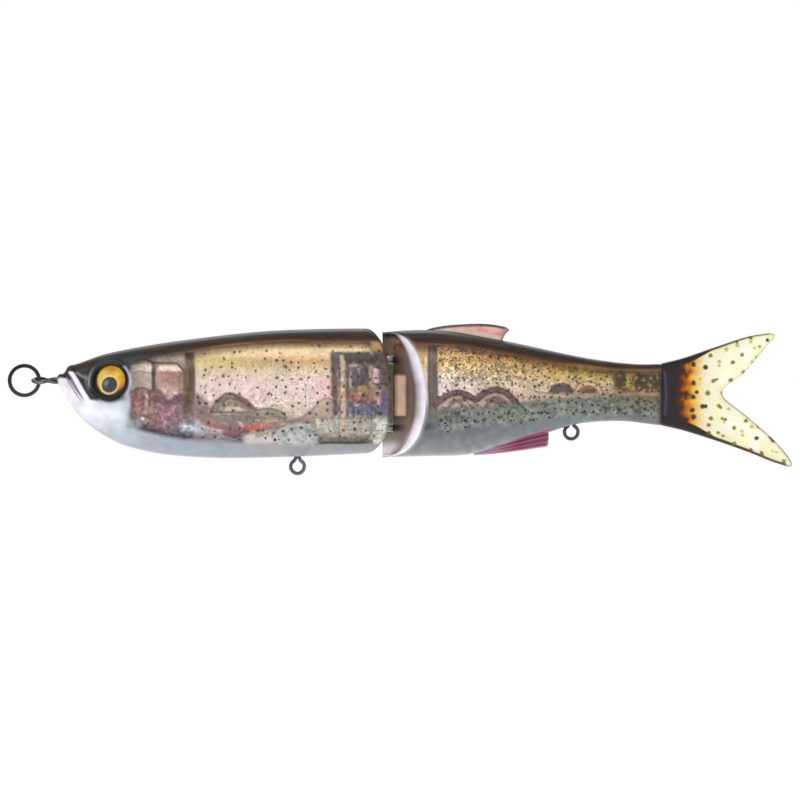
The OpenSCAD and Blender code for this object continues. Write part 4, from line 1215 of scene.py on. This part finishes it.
def make_foil(name, section, u, ends, low, high, painter, side, body, node):
    """Printed sheet just inside the shell, with a fine step in height where the ink is dark."""
    a = np.radians(np.linspace(low, high, 112))
    outer = section.skin(u, a, WALL + 0.15, ends)
    x, z = outer[..., 0], outer[..., 2]
    p, _ = painter(x.ravel(), z.ravel())
    dark = 1 - p.rgb.mean(1).reshape(x.shape)
    outer = outer - outward(outer) * (0.16 * dark)[..., None]
    inner = section.skin(u, a, WALL + 0.5, ends)
    v, f = solid_between(mirrored(outer, side), mirrored(inner, side))
    foil = new_mesh(name, v, f, 60)
    co = coordinates(foil)
    paint, glitter = painter(co[:, 0], co[:, 2])
    set_paint(foil, paint)
    set_value(foil, "glitter", glitter)
    place(foil, body, "printed_foil", FOIL, node)


def make_foils():
    for name, side in SIDES:
        make_foil("front_print_" + name, front, stations([22, 84], [0.3]), (17.6, 2.4), 19, 166,
                  front_print, side, "front", "front_foil_" + name)
        make_foil("rear_print_" + name, rear, stations([90, 153], [0.33]), (2.3, 3.0), 19, 165,
                  rear_print, side, "rear", "rear_foil_" + name)


# ---------------------------------------------------------------- eyes


def polar_solid(name, radii, top, bottom, matrix, n=120):
    """Round solid between two height functions of (x, y), about the matrix's Z axis."""
    x, y = polar(radii, n)
    v = np.stack([(x, y, top(x, y)), (x, y, bottom(x, y) + 0 * x)]).transpose(0, 2, 3, 1).reshape(-1, 3)
    k = np.arange(x.size).reshape(x.shape)
    low = k + x.size
    faces = [tube_faces(k), tube_faces(low)[:, ::-1], tube_faces(np.stack([k[-1], low[-1]])),
             tube_faces(np.stack([k[0], low[0]]))[:, ::-1]]
    return new_mesh(name, moved(v, matrix), np.concatenate(faces))


PUPIL = (-0.2, -0.62)
PUPIL_R = 1.93


def iris_height(x, y):
    r = np.hypot(x, y)
    pr = np.hypot(x - PUPIL[0], y - PUPIL[1])
    turn = np.arctan2(y - PUPIL[1], x - PUPIL[0])
    ray = 0.035 * np.sin(turn * 37 + 2 * np.sin(turn * 5)) * smooth(PUPIL_R, 2.8, pr) * smooth(3.9, 3.3, r)
    return -0.62 - 0.3 * smooth(2.5, 1.8, pr) + 0.2 * smooth(3.0, 4.1, r) + ray


def paint_iris(local):
    x, y = local[:, 0], local[:, 1]
    px, py = x - PUPIL[0], y - PUPIL[1]
    pr, turn = np.hypot(px, py), np.degrees(np.arctan2(py, px))
    p = Paint(x, y)
    around = ramp(turn, [(-180, (212, 204, 108)), (-150, (190, 150, 40)), (-110, (120, 70, 10)),
                         (-60, (116, 58, 6)), (-20, (184, 108, 8)), (20, (222, 166, 14)),
                         (60, (232, 192, 24)), (100, (204, 164, 28)), (140, (212, 200, 78)),
                         (180, (212, 204, 108))])
    p.lay(around, 1)
    p.lay((226, 214, 120), 0.6 * bump(np.hypot(x + 2.0, y - 1.5), 1.3))
    p.lay((150, 104, 22), 0.6 * bump(np.hypot(x - 0.4, y - 3.1), 0.9))
    p.lay((196, 120, 12), 0.25 * smooth(0.45, 0.7, noise(turn * 0.12, pr, 0.8, 5)))
    off = np.hypot(x - 0.4, y - 0.45)
    p.lay((116, 70, 14), 0.85 * smooth(3.4, 4.0, off))
    p.lay((60, 34, 12), 0.88 * smooth(2.5, 3.6, off) * smooth(-0.2, -2.4, y))
    p.lay((240, 222, 160), 0.85 * bump(pr - 2.32, 0.26) * smooth(1.6, -0.6, y - 0.3 * x))
    p.lay((250, 214, 120), 0.5 * bump(pr - 2.3, 0.22))
    p.lay((24, 31, 35), smooth(2.08, 1.86, pr))
    p.lay((140, 152, 158), 0.9 * bump(np.hypot(px + 0.8, py - 0.35), 0.8) * smooth(1.9, 1.7, pr))
    p.lay((8, 11, 14), 0.9 * bump(np.hypot(px - 0.35, py + 0.1), 0.95) * smooth(1.9, 1.6, pr))
    p.lay((18, 15, 13), smooth(3.72, 4.0, off))
    return p


def make_eyes():
    print_material = painted_material("eye_foil_print", (0.3, 0.46), 0.0, metallic=0.2, grain_scale=2600.0,
                                      bumps=0.08, specular=0.15)
    rim_material = plain_material("eye_rim", rgba(9, 8, 8), rgba(20, 16, 13), 0.0, (0.34, 0.5),
                                  specular=0.25)
    net = Net("clear_lens")
    polish = net.range(net.noise(net.object(), 500.0), 0.3, 0.7, 0.02, 0.05)
    lens_material = net.finish(clear_gloss(net, (1, 0.99, 0.97, 1), polish, 0.03, 3.0))
    seat, dome_height, lens_r = -0.62, 1.75, 4.12
    ball = (EYE_R ** 2 + dome_height ** 2) / (2 * dome_height)

    def dome(x, y):
        return np.sqrt(np.maximum(ball ** 2 - x * x - y * y, 0)) - ball + dome_height + seat

    bead = [(lens_r, -1.0), (4.1, -0.1), (4.14, 0.26), (4.22, 0.44), (4.34, 0.5), (4.5, 0.4), (4.64, 0.16),
            (4.7, -0.1), (4.66, -1.0), (lens_r, -1.0)]
    for name, side in SIDES:
        m = eye_matrix(side)
        disc = polar_solid("iris_" + name, [0, *np.linspace(0.1, 4.3, 46)], iris_height,
                           lambda x, y: -1.2, m)
        set_paint(disc, paint_iris(moved(coordinates(disc), np.linalg.inv(np.array(m)))))
        place(disc, "front", "eye_print", print_material, "eye_disc_" + name)
        lens = polar_solid("lens_" + name, [0, *np.linspace(0.2, lens_r, 24)], dome, lambda x, y: -0.36, m)
        place(lens, "front", "eye_lens", lens_material, "eye_dome_" + name)
        ring = lathe("eye_rim_" + name, bead, m, 128)
        place(ring, "front", "eye_print", rim_material)


# ---------------------------------------------------------------- wire work

def hairpin(length, pitch, loop):
    """Path of a wire up one leg, round the eye at the origin and back down the other. +X is inwards."""
    neck = math.degrees(math.asin(pitch / 2 / loop)) + 14
    turn = np.radians(np.linspace(neck, 360 - neck, 61))
    ring = np.stack([loop * np.cos(turn), loop * np.sin(turn)], -1)
    x = np.linspace(length, loop + 0.55, 24)
    up = np.stack([x, 0 * x + pitch / 2], -1)
    bends = np.concatenate([up, ring, up[::-1] * [1, -1]])
    return through(bends, np.linspace(0, len(bends) - 1, 3 * len(bends)))


def from_ends(n, count):
    """Rises from 0 to 1 over the first points of a path, and falls over the last."""
    return np.clip(np.minimum(np.arange(n), n - 1 - np.arange(n)) / count, 0, 1)


def make_wire(name, body, node, matrix, length, twist=0.0):
    flat = hairpin(length, 0.86, 1.7)
    angle = twist * smooth(1.9, 6.0, flat[:, 0]) * (np.hypot(flat[:, 0], flat[:, 1]) > 1.9)
    path = np.stack([flat[:, 0], flat[:, 1] * np.cos(angle), flat[:, 1] * np.sin(angle)], -1)
    scale = np.sqrt(1 - (1 - from_ends(len(path), 4)) ** 2) * 0.75 + 0.25
    round_section = np.concatenate(polar([WIRE_R], 20)).T
    wire = sweep(name, moved(path, matrix), round_section, np.array(matrix)[:3, 2], scale=scale)
    place(wire, body, "steel", WIRE, node)


def make_wires():
    tilt = Matrix.Rotation(math.radians(17), 4, "X")
    make_wire("twisted_line_tie", "front", "line_tie", tilt, 14.2, math.radians(150))
    down = Matrix.Rotation(math.radians(90), 4, "X") @ Matrix.Rotation(math.radians(90), 4, "Z")
    for body, (x, z), length in (("front", FRONT_HANGER, 8.6), ("rear", REAR_HANGER, 8.0)):
        make_wire(body + "_hanger_wire", body, body + "_hook_hanger", Matrix.Translation((x, 0, z)) @ down,
                  length)
    # split ring: two turns of flat wire side by side, with a step from one to the other
    turn = np.linspace(math.radians(122), math.radians(122 + 720 - 52), 420)
    lap = (turn - turn[0]) / (2 * np.pi)
    side = 0.27 * (2 * smooth(0.86, 1.0, lap) - 1)
    path = np.stack([RING_X + RING_R * np.cos(turn), -side, RING_R * np.sin(turn)], -1)
    section = [(-0.47, -0.14), (-0.36, -0.245), (0.36, -0.245), (0.47, -0.14), (0.47, 0.14), (0.36, 0.245),
               (-0.36, 0.245), (-0.47, 0.14)]
    scale = 0.55 + 0.45 * np.sqrt(from_ends(len(path), 5))
    ring = sweep("split_ring", path, section, (0, 1, 0), sharp=30, scale=scale)
    place(ring, "line_ring", "ring_wire", NICKEL, "line_ring")


# ---------------------------------------------------------------- hinge and weights

def arc(r, start, end, n):
    """Points round the hinge axis, between two angles in degrees."""
    return [(HINGE_X + r * math.cos(t), r * math.sin(t)) for t in np.radians(np.linspace(start, end, n))]


def eye_plate(name, z, node):
    """Flat hinge eye: a barrel round the pin and a straight arm."""
    arm = [(HINGE_X - 2.6, 1.15), (81, 1.2), (79, 1.2), (74.6, 1.2)]
    outline = arc(2.0, -142, 142, 33) + arm + [(q[0], -q[1]) for q in arm[::-1]]
    plate = prism(name, outline, z - PLATE_HALF, z + PLATE_HALF, bevel=0.16)
    hole = lathe("hole", [(0, z - 2), (0.98, z - 2), (0.98, z + 2), (0, z + 2)], HINGE_AXIS, 48)
    cut(plate, [hole], 30)
    place(plate, "front", "steel", STEEL, node)


def make_hinge():
    eye_plate("upper_eye_plate", UPPER_EYE_Z, "upper_hinge_eye")
    eye_plate("lower_eye_plate", LOWER_EYE_Z, "lower_hinge_eye")
    pin = lathe("headed_pin", [(0, -15.6), (0.62, -15.6), (0.9, -15.3), (0.9, 8.5), (1.22, 8.6), (1.3, 8.75),
                               (1.3, 9.1), (1.1, 9.3), (0.4, 9.3), (0.25, 9.15), (0, 9.15)], HINGE_AXIS, 48)
    place(pin, "rear", "steel", STEEL, "hinge_pin")
    # front block: a spine with ribs and bars, on a wider foot
    parts = [box((72.6, -3.1, -8.4), (79.4, 3.1, 8.4)), box((70.1, -4.9, -14.5), (79.4, 4.9, -8.5))]
    parts += [box((x, -4.3, -7.6), (x + 0.7, 4.3, 7.6), 0.12) for x in (73.2, 75.2, 77.2, 79.2)]
    parts += [box((72.8, -4.2, z), (79.2, 4.2, z + 0.7), 0.12) for z in (-7.9, 1.2, 7.3)]
    place(join("ribbed_front_block", parts), "front", "moulded_block", BLOCK, "front_hinge_block")
    # rear block: the knuckle round the pin above, between and below the two eyes, and its web
    knuckle = arc(1.5, 90, 270, 19) + [(94, -3.3), (98.9, -3.3), (98.9, 3.3), (94, 3.3)]
    gap = 1.3
    levels = [(-14.8, LOWER_EYE_Z - gap), (LOWER_EYE_Z + gap, UPPER_EYE_Z - gap), (UPPER_EYE_Z + gap, 8.6)]
    parts = [prism("knuckle", knuckle, low, high, bevel=0.18) for low, high in levels]
    parts.append(box((95.2, -3.2, -14.7), (98.8, 3.2, 8.5)))
    place(join("rear_knuckle_block", parts), "rear", "moulded_block", KNUCKLE, "rear_hinge_block")


def make_weights():
    r = 4.0
    ball = [(r * math.sin(t), r * math.cos(t)) for t in np.radians(np.linspace(180, 8, 40))]
    ball += [(0.55, r), (0.5, 4.25), (0, 4.3)]
    lead = lathe("nose_ball", ball, Matrix.Translation((26.6, 0, -9.7)), 64)
    place(lead, "front", "weight", LEAD, "nose_weight")
    for body, x, z, length, half, height in (("front", 34, -16.2, 26, 6, 6), ("rear", 100, -15.4, 10, 4, 5)):
        side = z + height * 0.45
        outline = [(-half, z + height), (half, z + height), (half, side), (half - 2, z), (2 - half, z),
                   (-half, side)]
        bar = prism(body + "_cast_bar", outline, x, x + length, "x", 0.5, 40)
        place(bar, body, "weight", LEAD, body + "_belly_weight")


# ---------------------------------------------------------------- fins and tail

def spread(line, shares, fine=8):
    """Points at the given shares of the length of a smooth curve through a line's points."""
    p = np.array(smoothed(line, fine))
    d = np.concatenate([[0], np.cumsum(np.linalg.norm(np.diff(p, axis=0), axis=1))])
    return np.stack([np.interp(shares * d[-1], d, p[:, c]) for c in (0, 1)], -1)


def pairs(points):
    return [tuple(q) for q in points]


def sheet_solid(name, flat, half):
    """Closed solid on both sides of a flat grid of (x, z), with the given half thickness."""
    sides = [np.stack([flat[..., 0], y, flat[..., 1]], -1) for y in (-half, half)]
    return new_mesh(name, *solid_between(*sides), 50)


def edge_round(x, z, outline, width):
    """Share of the full thickness, falling off round the edge."""
    t = np.clip(distance(x, z, outline) / width, 0, 1)
    return np.sqrt(1 - (1 - t) ** 2)


def back_fin_half(x, z):
    return 0.5 + 0.05 * np.sin((x - 0.55 * z) * 4.6)


def paint_back_fin(p, x, z, top, base):
    p.lay((232, 176, 172), 1)
    p.lay((216, 140, 140), 0.8 * smooth(0.5, 0.75, noise(x * 0.6, z * 1.6, 0.9, 71)))
    p.lay((226, 206, 176), smooth(107, 100.5, x + 1.5 * (z - 12)))
    p.lay((236, 214, 192), bump(z - (rear.top(x) + 0.35), 0.55))
    p.lay((170, 120, 112), 0.8 * smooth(115.4, 117.0, x))
    p.soft((96, 64, 54), [(118.1, 12.6), (117.2, 11.4), (116.6, 10.4)], 0.4)
    p.lay((66, 48, 44), smooth(0.85, 0.45, distance(x, z, pairs(top[:112]))))
    p.a = np.where(z > rear.top(x), 0.9, 1.0)


def belly_fin_rays(x, z, shift=0.0):
    """Waves that fan out from a point ahead of the fin."""
    return np.sin(np.degrees(np.arctan2(z + 19.6, x - 103)) * 2.1 + shift)


def belly_fin_half(x, z):
    return 0.52 + 0.07 * belly_fin_rays(x, z)


def paint_belly_fin(p, x, z, base, edge):
    p.lay((156, 124, 146), 1)
    p.lay((112, 36, 72), smooth(114, 121, x - 0.5 * (z + 16)))
    p.lay((158, 62, 104), 0.75 * smooth(0.2, 0.9, belly_fin_rays(x, z)) * smooth(112, 119, x))
    p.lay((66, 30, 50), 0.6 * smooth(0.5, 0.95, belly_fin_rays(x, z, 2.6)) * smooth(117, 123, x))
    p.soft((196, 130, 160), pairs(edge), 0.35)


def make_fin(name, node, slot, material, first, last, columns, rows, half, rounding, painter):
    """Fin between two lines, thinner round its edge."""
    first, last = [spread(line, np.linspace(0, 1, columns), 6) for line in (first, last)]
    flat = mix(first[:, None], last[:, None], np.linspace(0, 1, rows)[None, :, None])
    x, z = flat[..., 0], flat[..., 1]
    thick = half(x, z) * edge_round(x, z, pairs([*first, *last[::-1], first[0]]), rounding)
    fin = sheet_solid(name, flat, thick)
    co = coordinates(fin)
    p = Paint(co[:, 0], co[:, 2])
    painter(p, p.x, p.z, first, last)
    set_paint(fin, p)
    place(fin, "rear", slot, material, node)


def make_fins():
    pink = painted_material("pink_fin", (0.3, 0.42), 0.3, alpha=True)
    make_fin("back_fin", "dorsal_fin", "fin_pink", pink, DORSAL_TOP, DORSAL_BASE, 120, 26, back_fin_half,
             0.55, paint_back_fin)
    maroon = painted_material("maroon_fin", (0.3, 0.45), 0.35)
    make_fin("belly_fin", "anal_fin", "fin_maroon", maroon, ANAL_BASE, ANAL_EDGE, 110, 40, belly_fin_half,
             0.5, paint_belly_fin)


# x, z, size and ink of each spot. The places were read by eye from an enlarged crop of the photo, and a
# scratch script turned them into millimetres.
TAIL_SPOTS = [
    (164.5, 4.1, 1.2, "d"), (167.6, 3.3, 1.3, "d"), (168.9, 6.3, 1, "o"), (171.1, 4.8, .8, "f"),
    (171.0, 3.8, .8, "f"), (175.6, 8.9, 1, "f"), (175.5, 9.7, .8, "b"), (179.0, 10.6, .9, "b"),
    (179.0, 9.7, .8, "f"), (183.2, 10.2, 1, "d"), (181.2, 8.6, .8, "o"), (179.9, 8.2, .7, "f"),
    (176.8, 6.5, 1, "o"), (174.5, 4.6, 1, "o"), (172.9, 7.9, 1, "f"), (180.4, 5.9, .9, "f"),
    (179.3, 4.7, .8, "f"), (177.2, 2.1, 1.1, "o"), (174.0, 0.1, 1.2, "o"), (169.6, -0.1, 1.1, "o"),
    (170.4, 0.3, .8, "o"), (164.5, -0.6, 1.2, "d"), (165.3, -2.9, 1.1, "d"), (164.4, -4.2, 1.2, "d"),
    (168.2, -3.2, 1.2, "o"), (171.8, -3.1, .9, "o"), (166.8, -6.5, 1.2, "d"), (167.6, -6.5, 1.1, "d"),
    (170.9, -6.3, .9, "o"), (171.4, -6.8, .8, "o"), (173.4, -7.2, .7, "f"), (164.2, -7.4, 1.3, "d"),
    (164.5, -9.2, 1.4, "d"), (168.9, -9.6, 1.1, "o"), (171.8, -9.6, .8, "o"), (172.6, -9.8, .9, "o"),
    (172.3, -10.5, .6, "f"), (168.4, -11.2, 1.1, "o"), (174.8, -11.9, 1.1, "o"), (176.8, -12.8, .8, "f"),
    (177.0, -13.8, .8, "f"), (177.8, -10.1, 1, "b"), (179.2, -11.6, .9, "f"), (180.9, -11.6, 1, "o"),
    (180.5, -14.5, 1.1, "d"), (184.1, -14.3, 1.1, "d"), (184.5, -15.1, .9, "d"), (184.5, -17.8, .7, "f"),
    (185.5, -18.1, .7, "f"), (181.7, -18.3, 1, "b"), (182.0, -19.2, 1, "b"), (178.9, -17.5, 1.1, "b"),
    (174.8, -15.8, 1, "o"), (170.8, -13.1, .8, "o"), (172.0, -13.9, .8, "o"), (168.4, -13.2, 1, "b"),
    (187.4, -20.3, 1, "o"), (166.2, 0.4, .7, "f")]
SPOT_INK = {"d": ((62, 50, 22), 1.0), "o": ((110, 104, 36), 0.95), "b": ((104, 66, 30), 0.95),
            "f": ((160, 156, 56), 0.85)}


def tail_grid(upper, lower, back, u, v):
    """Grid between the tail's four edges: root, back, upper and lower."""
    root = np.stack([TAIL_ROOT_X + 0 * v, mix(4.35, -11.35, 0.5 - 0.5 * np.cos(np.pi * v))], -1)
    u, v = u[:, None, None], v[None, :, None]
    corners = ((1 - u) * (1 - v) * upper[0] + (1 - u) * v * lower[0] + u * (1 - v) * back[0]
               + u * v * back[-1])
    return (1 - v) * upper[:, None] + v * lower[:, None] + (1 - u) * root[None] + u * back[None] - corners


def tail_half(x, z, outline):
    """Half thickness: full at the root, thin at the back, rayed, and rounded to nothing at the outline."""
    full = curve([(156.4, 3.62), (160.3, 3.3), (164, 2.7), (168, 2.05), (174, 1.45), (181, 1.1),
                  (190, 0.7)])(x)
    width = curve([(156.4, 7.8), (160, 6.5), (165, 3.6), (170, 1.9), (176, 1.3), (190, 0.9)])(x)
    inside = distance(x, z, outline)
    power = mix(0.68, 1.0, smooth(157, 168, x))
    across = np.sqrt(1 - (1 - np.clip(inside / width, 0, 1)) ** 2) ** power
    middle = curve([(156, -3.5), (170, -3.4), (190, -3.2)])(x)
    fan = np.degrees(np.arctan2(z - middle, x - 150))
    ray = 0.055 * np.sin(fan * 1.9) * smooth(163, 170, x) * smooth(0, 1.5, inside)
    lip = 0.12 * bump(x - 157.2, 0.5)
    return np.maximum((full + ray + lip) * across, 0)


def paint_tail(p, x, z, outline, upper, lower, fork):
    wave = x + 0.5 * (noise(x, z, 2.2, 81) - 0.5) + 0.35 * np.sin(z * 2.1)
    arch = 0.030 * (z + 3.5) ** 2
    p.lay(ramp(wave - 0.4 * arch, [
        (156.5, (34, 32, 38)), (160.0, (38, 32, 32)), (161.0, (58, 36, 22)), (161.6, (112, 52, 10)),
        (162.7, (176, 98, 14)), (164.2, (226, 166, 44)), (166.2, (238, 206, 84)), (168.6, (240, 224, 116)),
        (171.5, (242, 232, 160)), (176, (246, 240, 182)), (188, (244, 236, 168))]), 1)
    p.lay((58, 26, 12), 0.9 * p.grain(0.42, 0.6, 1.1, 83) * bump(wave - 162.3, 1.3))
    p.lay((190, 112, 34), 0.7 * p.grain(0.55, 0.8, 1.0, 84) * bump(wave - 163.2, 0.9))
    p.soft((84, 80, 90), [(157.2, 3), (157.6, -3.5), (157.2, -10)], 0.28, 0.5)
    p.lay((240, 228, 128), 0.45 * p.grain(0.45, 0.8, 2.6, 85) * smooth(166, 169, x))
    p.lay((255, 255, 240), 0.5 * p.grain(0.5, 0.8, 2.2, 86) * smooth(167, 172, x))
    from_edge, from_top, from_low, from_fork = [distance(x, z, q) for q in (outline, upper, lower, fork)]
    p.lay((232, 222, 112), 0.55 * bump(from_edge, 0.9) * smooth(168, 172, x))
    border = np.maximum(
        smooth(1.0, 0.5, from_top - np.interp(x, [160, 165, 169, 182], [1.2, 0.7, -0.1, -0.45])),
        smooth(1.0, 0.5, from_low - np.interp(x, [160, 165, 170, 186], [1.9, 1.4, 0.2, -0.1])))
    p.lay(ramp(x, [(160, (34, 28, 28)), (168, (44, 30, 20)), (176, (58, 44, 22)), (186, (66, 56, 28))]),
          border)
    p.lay((70, 58, 36), 0.9 * smooth(0.4, 0.2, from_fork))
    p.lay((92, 84, 40), 0.6 * smooth(0.3, 0.12, from_edge))
    alpha = mix(1.0, 0.24, smooth(162.5, 168.5, x))
    alpha += 0.16 * smooth(168, 172, x) * (p.grain(0.4, 0.7, 2.4, 88) + bump(from_edge, 1.4))
    uneven = 1 + 0.35 * (noise(x, z, 0.6, 87) - 0.5)
    spotted = np.zeros_like(x)
    for cx, cz, size, kind in TAIL_SPOTS:
        ink, strength = SPOT_INK[kind]
        mask = strength * smooth(0.62, 0.42, np.hypot(x - cx, z - cz) * uneven / size)
        p.lay(ink, mask)
        spotted = np.maximum(spotted, mask)
    edge = smooth(1.0, 0.3, np.minimum(np.minimum(from_top, from_low), from_fork + 0.45))
    p.a = np.max([alpha, 0.97 * border, 0.9 * spotted, 0.8 * edge], axis=0)


def make_tail():
    shares = np.linspace(0, 1, 120)
    shares = mix(shares, shares ** 2, 0.25)
    upper, lower = spread(TAIL_UPPER, shares), spread(TAIL_LOWER, shares)
    back = spread(TAIL_REAR, np.linspace(0, 1, 150))
    flat = tail_grid(upper, lower, back, shares, np.linspace(0, 1, 150))
    outline = pairs([*upper, *back, *lower[::-1]])
    tail = sheet_solid("soft_tail", flat, tail_half(flat[..., 0], flat[..., 1], outline))
    co = coordinates(tail)
    p = Paint(co[:, 0], co[:, 2])
    paint_tail(p, p.x, p.z, outline, pairs(upper), pairs(lower), pairs(back[67:]))
    set_paint(tail, p)
    rest = tail.data.attributes.new("rest", "FLOAT_VECTOR", "POINT")
    rest.data.foreach_set("vector", (co * MM).astype(np.float32).ravel())
    tail.data.materials.append(painted_material("soft_tail_plastic", (0.32, 0.5), 0.04, alpha=True,
                                                vector="rest", grain_scale=1100.0, bumps=0.25,
                                                specular=0.15))
    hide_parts("tail_root", "tail_fin")
    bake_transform(tail)


# ---------------------------------------------------------------- camera, light and floor

VIEW_X, VIEW_Z, VIEW_WIDTH = 90.7, -4.9, 201.4
CAMERA_FAR = 1.6
SENSOR = 36.0
FLOOR_HALF, FLOOR_Z = 4, -0.075
LIT = (0.09, 0, -0.004)
LAMPS = [("key", (-0.15, -0.5, 0.8), (1.1, 0.6), 3.4), ("fill", (0.3, -0.95, 0.2), (1.2, 0.8), 2.6),
         ("back", (0.2, 0.7, 0.6), (0.9, 0.5), 2.0)]


def make_camera():
    data = bpy.data.cameras.new("camera")
    data.sensor_width = SENSOR
    data.lens = SENSOR * CAMERA_FAR / (VIEW_WIDTH * MM)
    data.clip_start, data.clip_end = 0.01, 100
    camera = linked("camera", data)
    camera.location = (VIEW_X * MM, -CAMERA_FAR, VIEW_Z * MM)
    camera.rotation_euler = (math.radians(90), 0, 0)
    bpy.context.scene.camera = camera


def make_floor():
    net = Net("pale_floor")
    grain = net.noise(net.object(), 30.0, 3.0)
    colour = net.blend(net.range(grain, 0.3, 0.7), (0.9, 0.9, 0.9, 1), (0.93, 0.93, 0.93, 1))
    pale = net.finish(net.principled(Base_Color=colour, Roughness=0.9, Specular_IOR_Level=0.1,
                                     Emission_Color=colour, Emission_Strength=0.66))
    across = np.linspace(-FLOOR_HALF, FLOOR_HALF, 33)
    v = np.stack(np.meshgrid(across, across, [FLOOR_Z], indexing="ij"), -1).reshape(-1, 3)
    floor = new_mesh("pale_floor", v / MM, grid_faces(33, 33))
    floor.data.materials.append(pale)


def make_light():
    net = Net("studio", world=True)
    light, seen = [net.add("Background", {"Color": WHITE, "Strength": s}).outputs[0] for s in (0.5, 1.0)]
    to_camera = net.add("LightPath").outputs["Is Camera Ray"]
    bpy.context.scene.world = net.finish(net.layers(to_camera, light, seen))
    for name, where, size, power in LAMPS:
        lamp = bpy.data.lights.new(name, "AREA")
        lamp.shape, lamp.size, lamp.size_y, lamp.energy = "RECTANGLE", size[0], size[1], power
        obj = linked(name, lamp)
        obj.location = where
        obj.rotation_euler = (Vector(LIT) - Vector(where)).to_track_quat("-Z", "Y").to_euler()
    bpy.context.scene.view_settings.view_transform = "Standard"


make_shells("front", front, FRONT_U, FRONT_CAPS, (4.2, 2.0), front_shape, eye_socket, paint_front)
make_shells("rear", rear, REAR_U, REAR_CAPS, (1.9, 1.8), rear_shape, hinge_slots, paint_rear)
make_foils()
make_eyes()
make_wires()
make_hinge()
make_weights()
make_fins()
make_tail()
make_camera()
make_floor()
make_light()
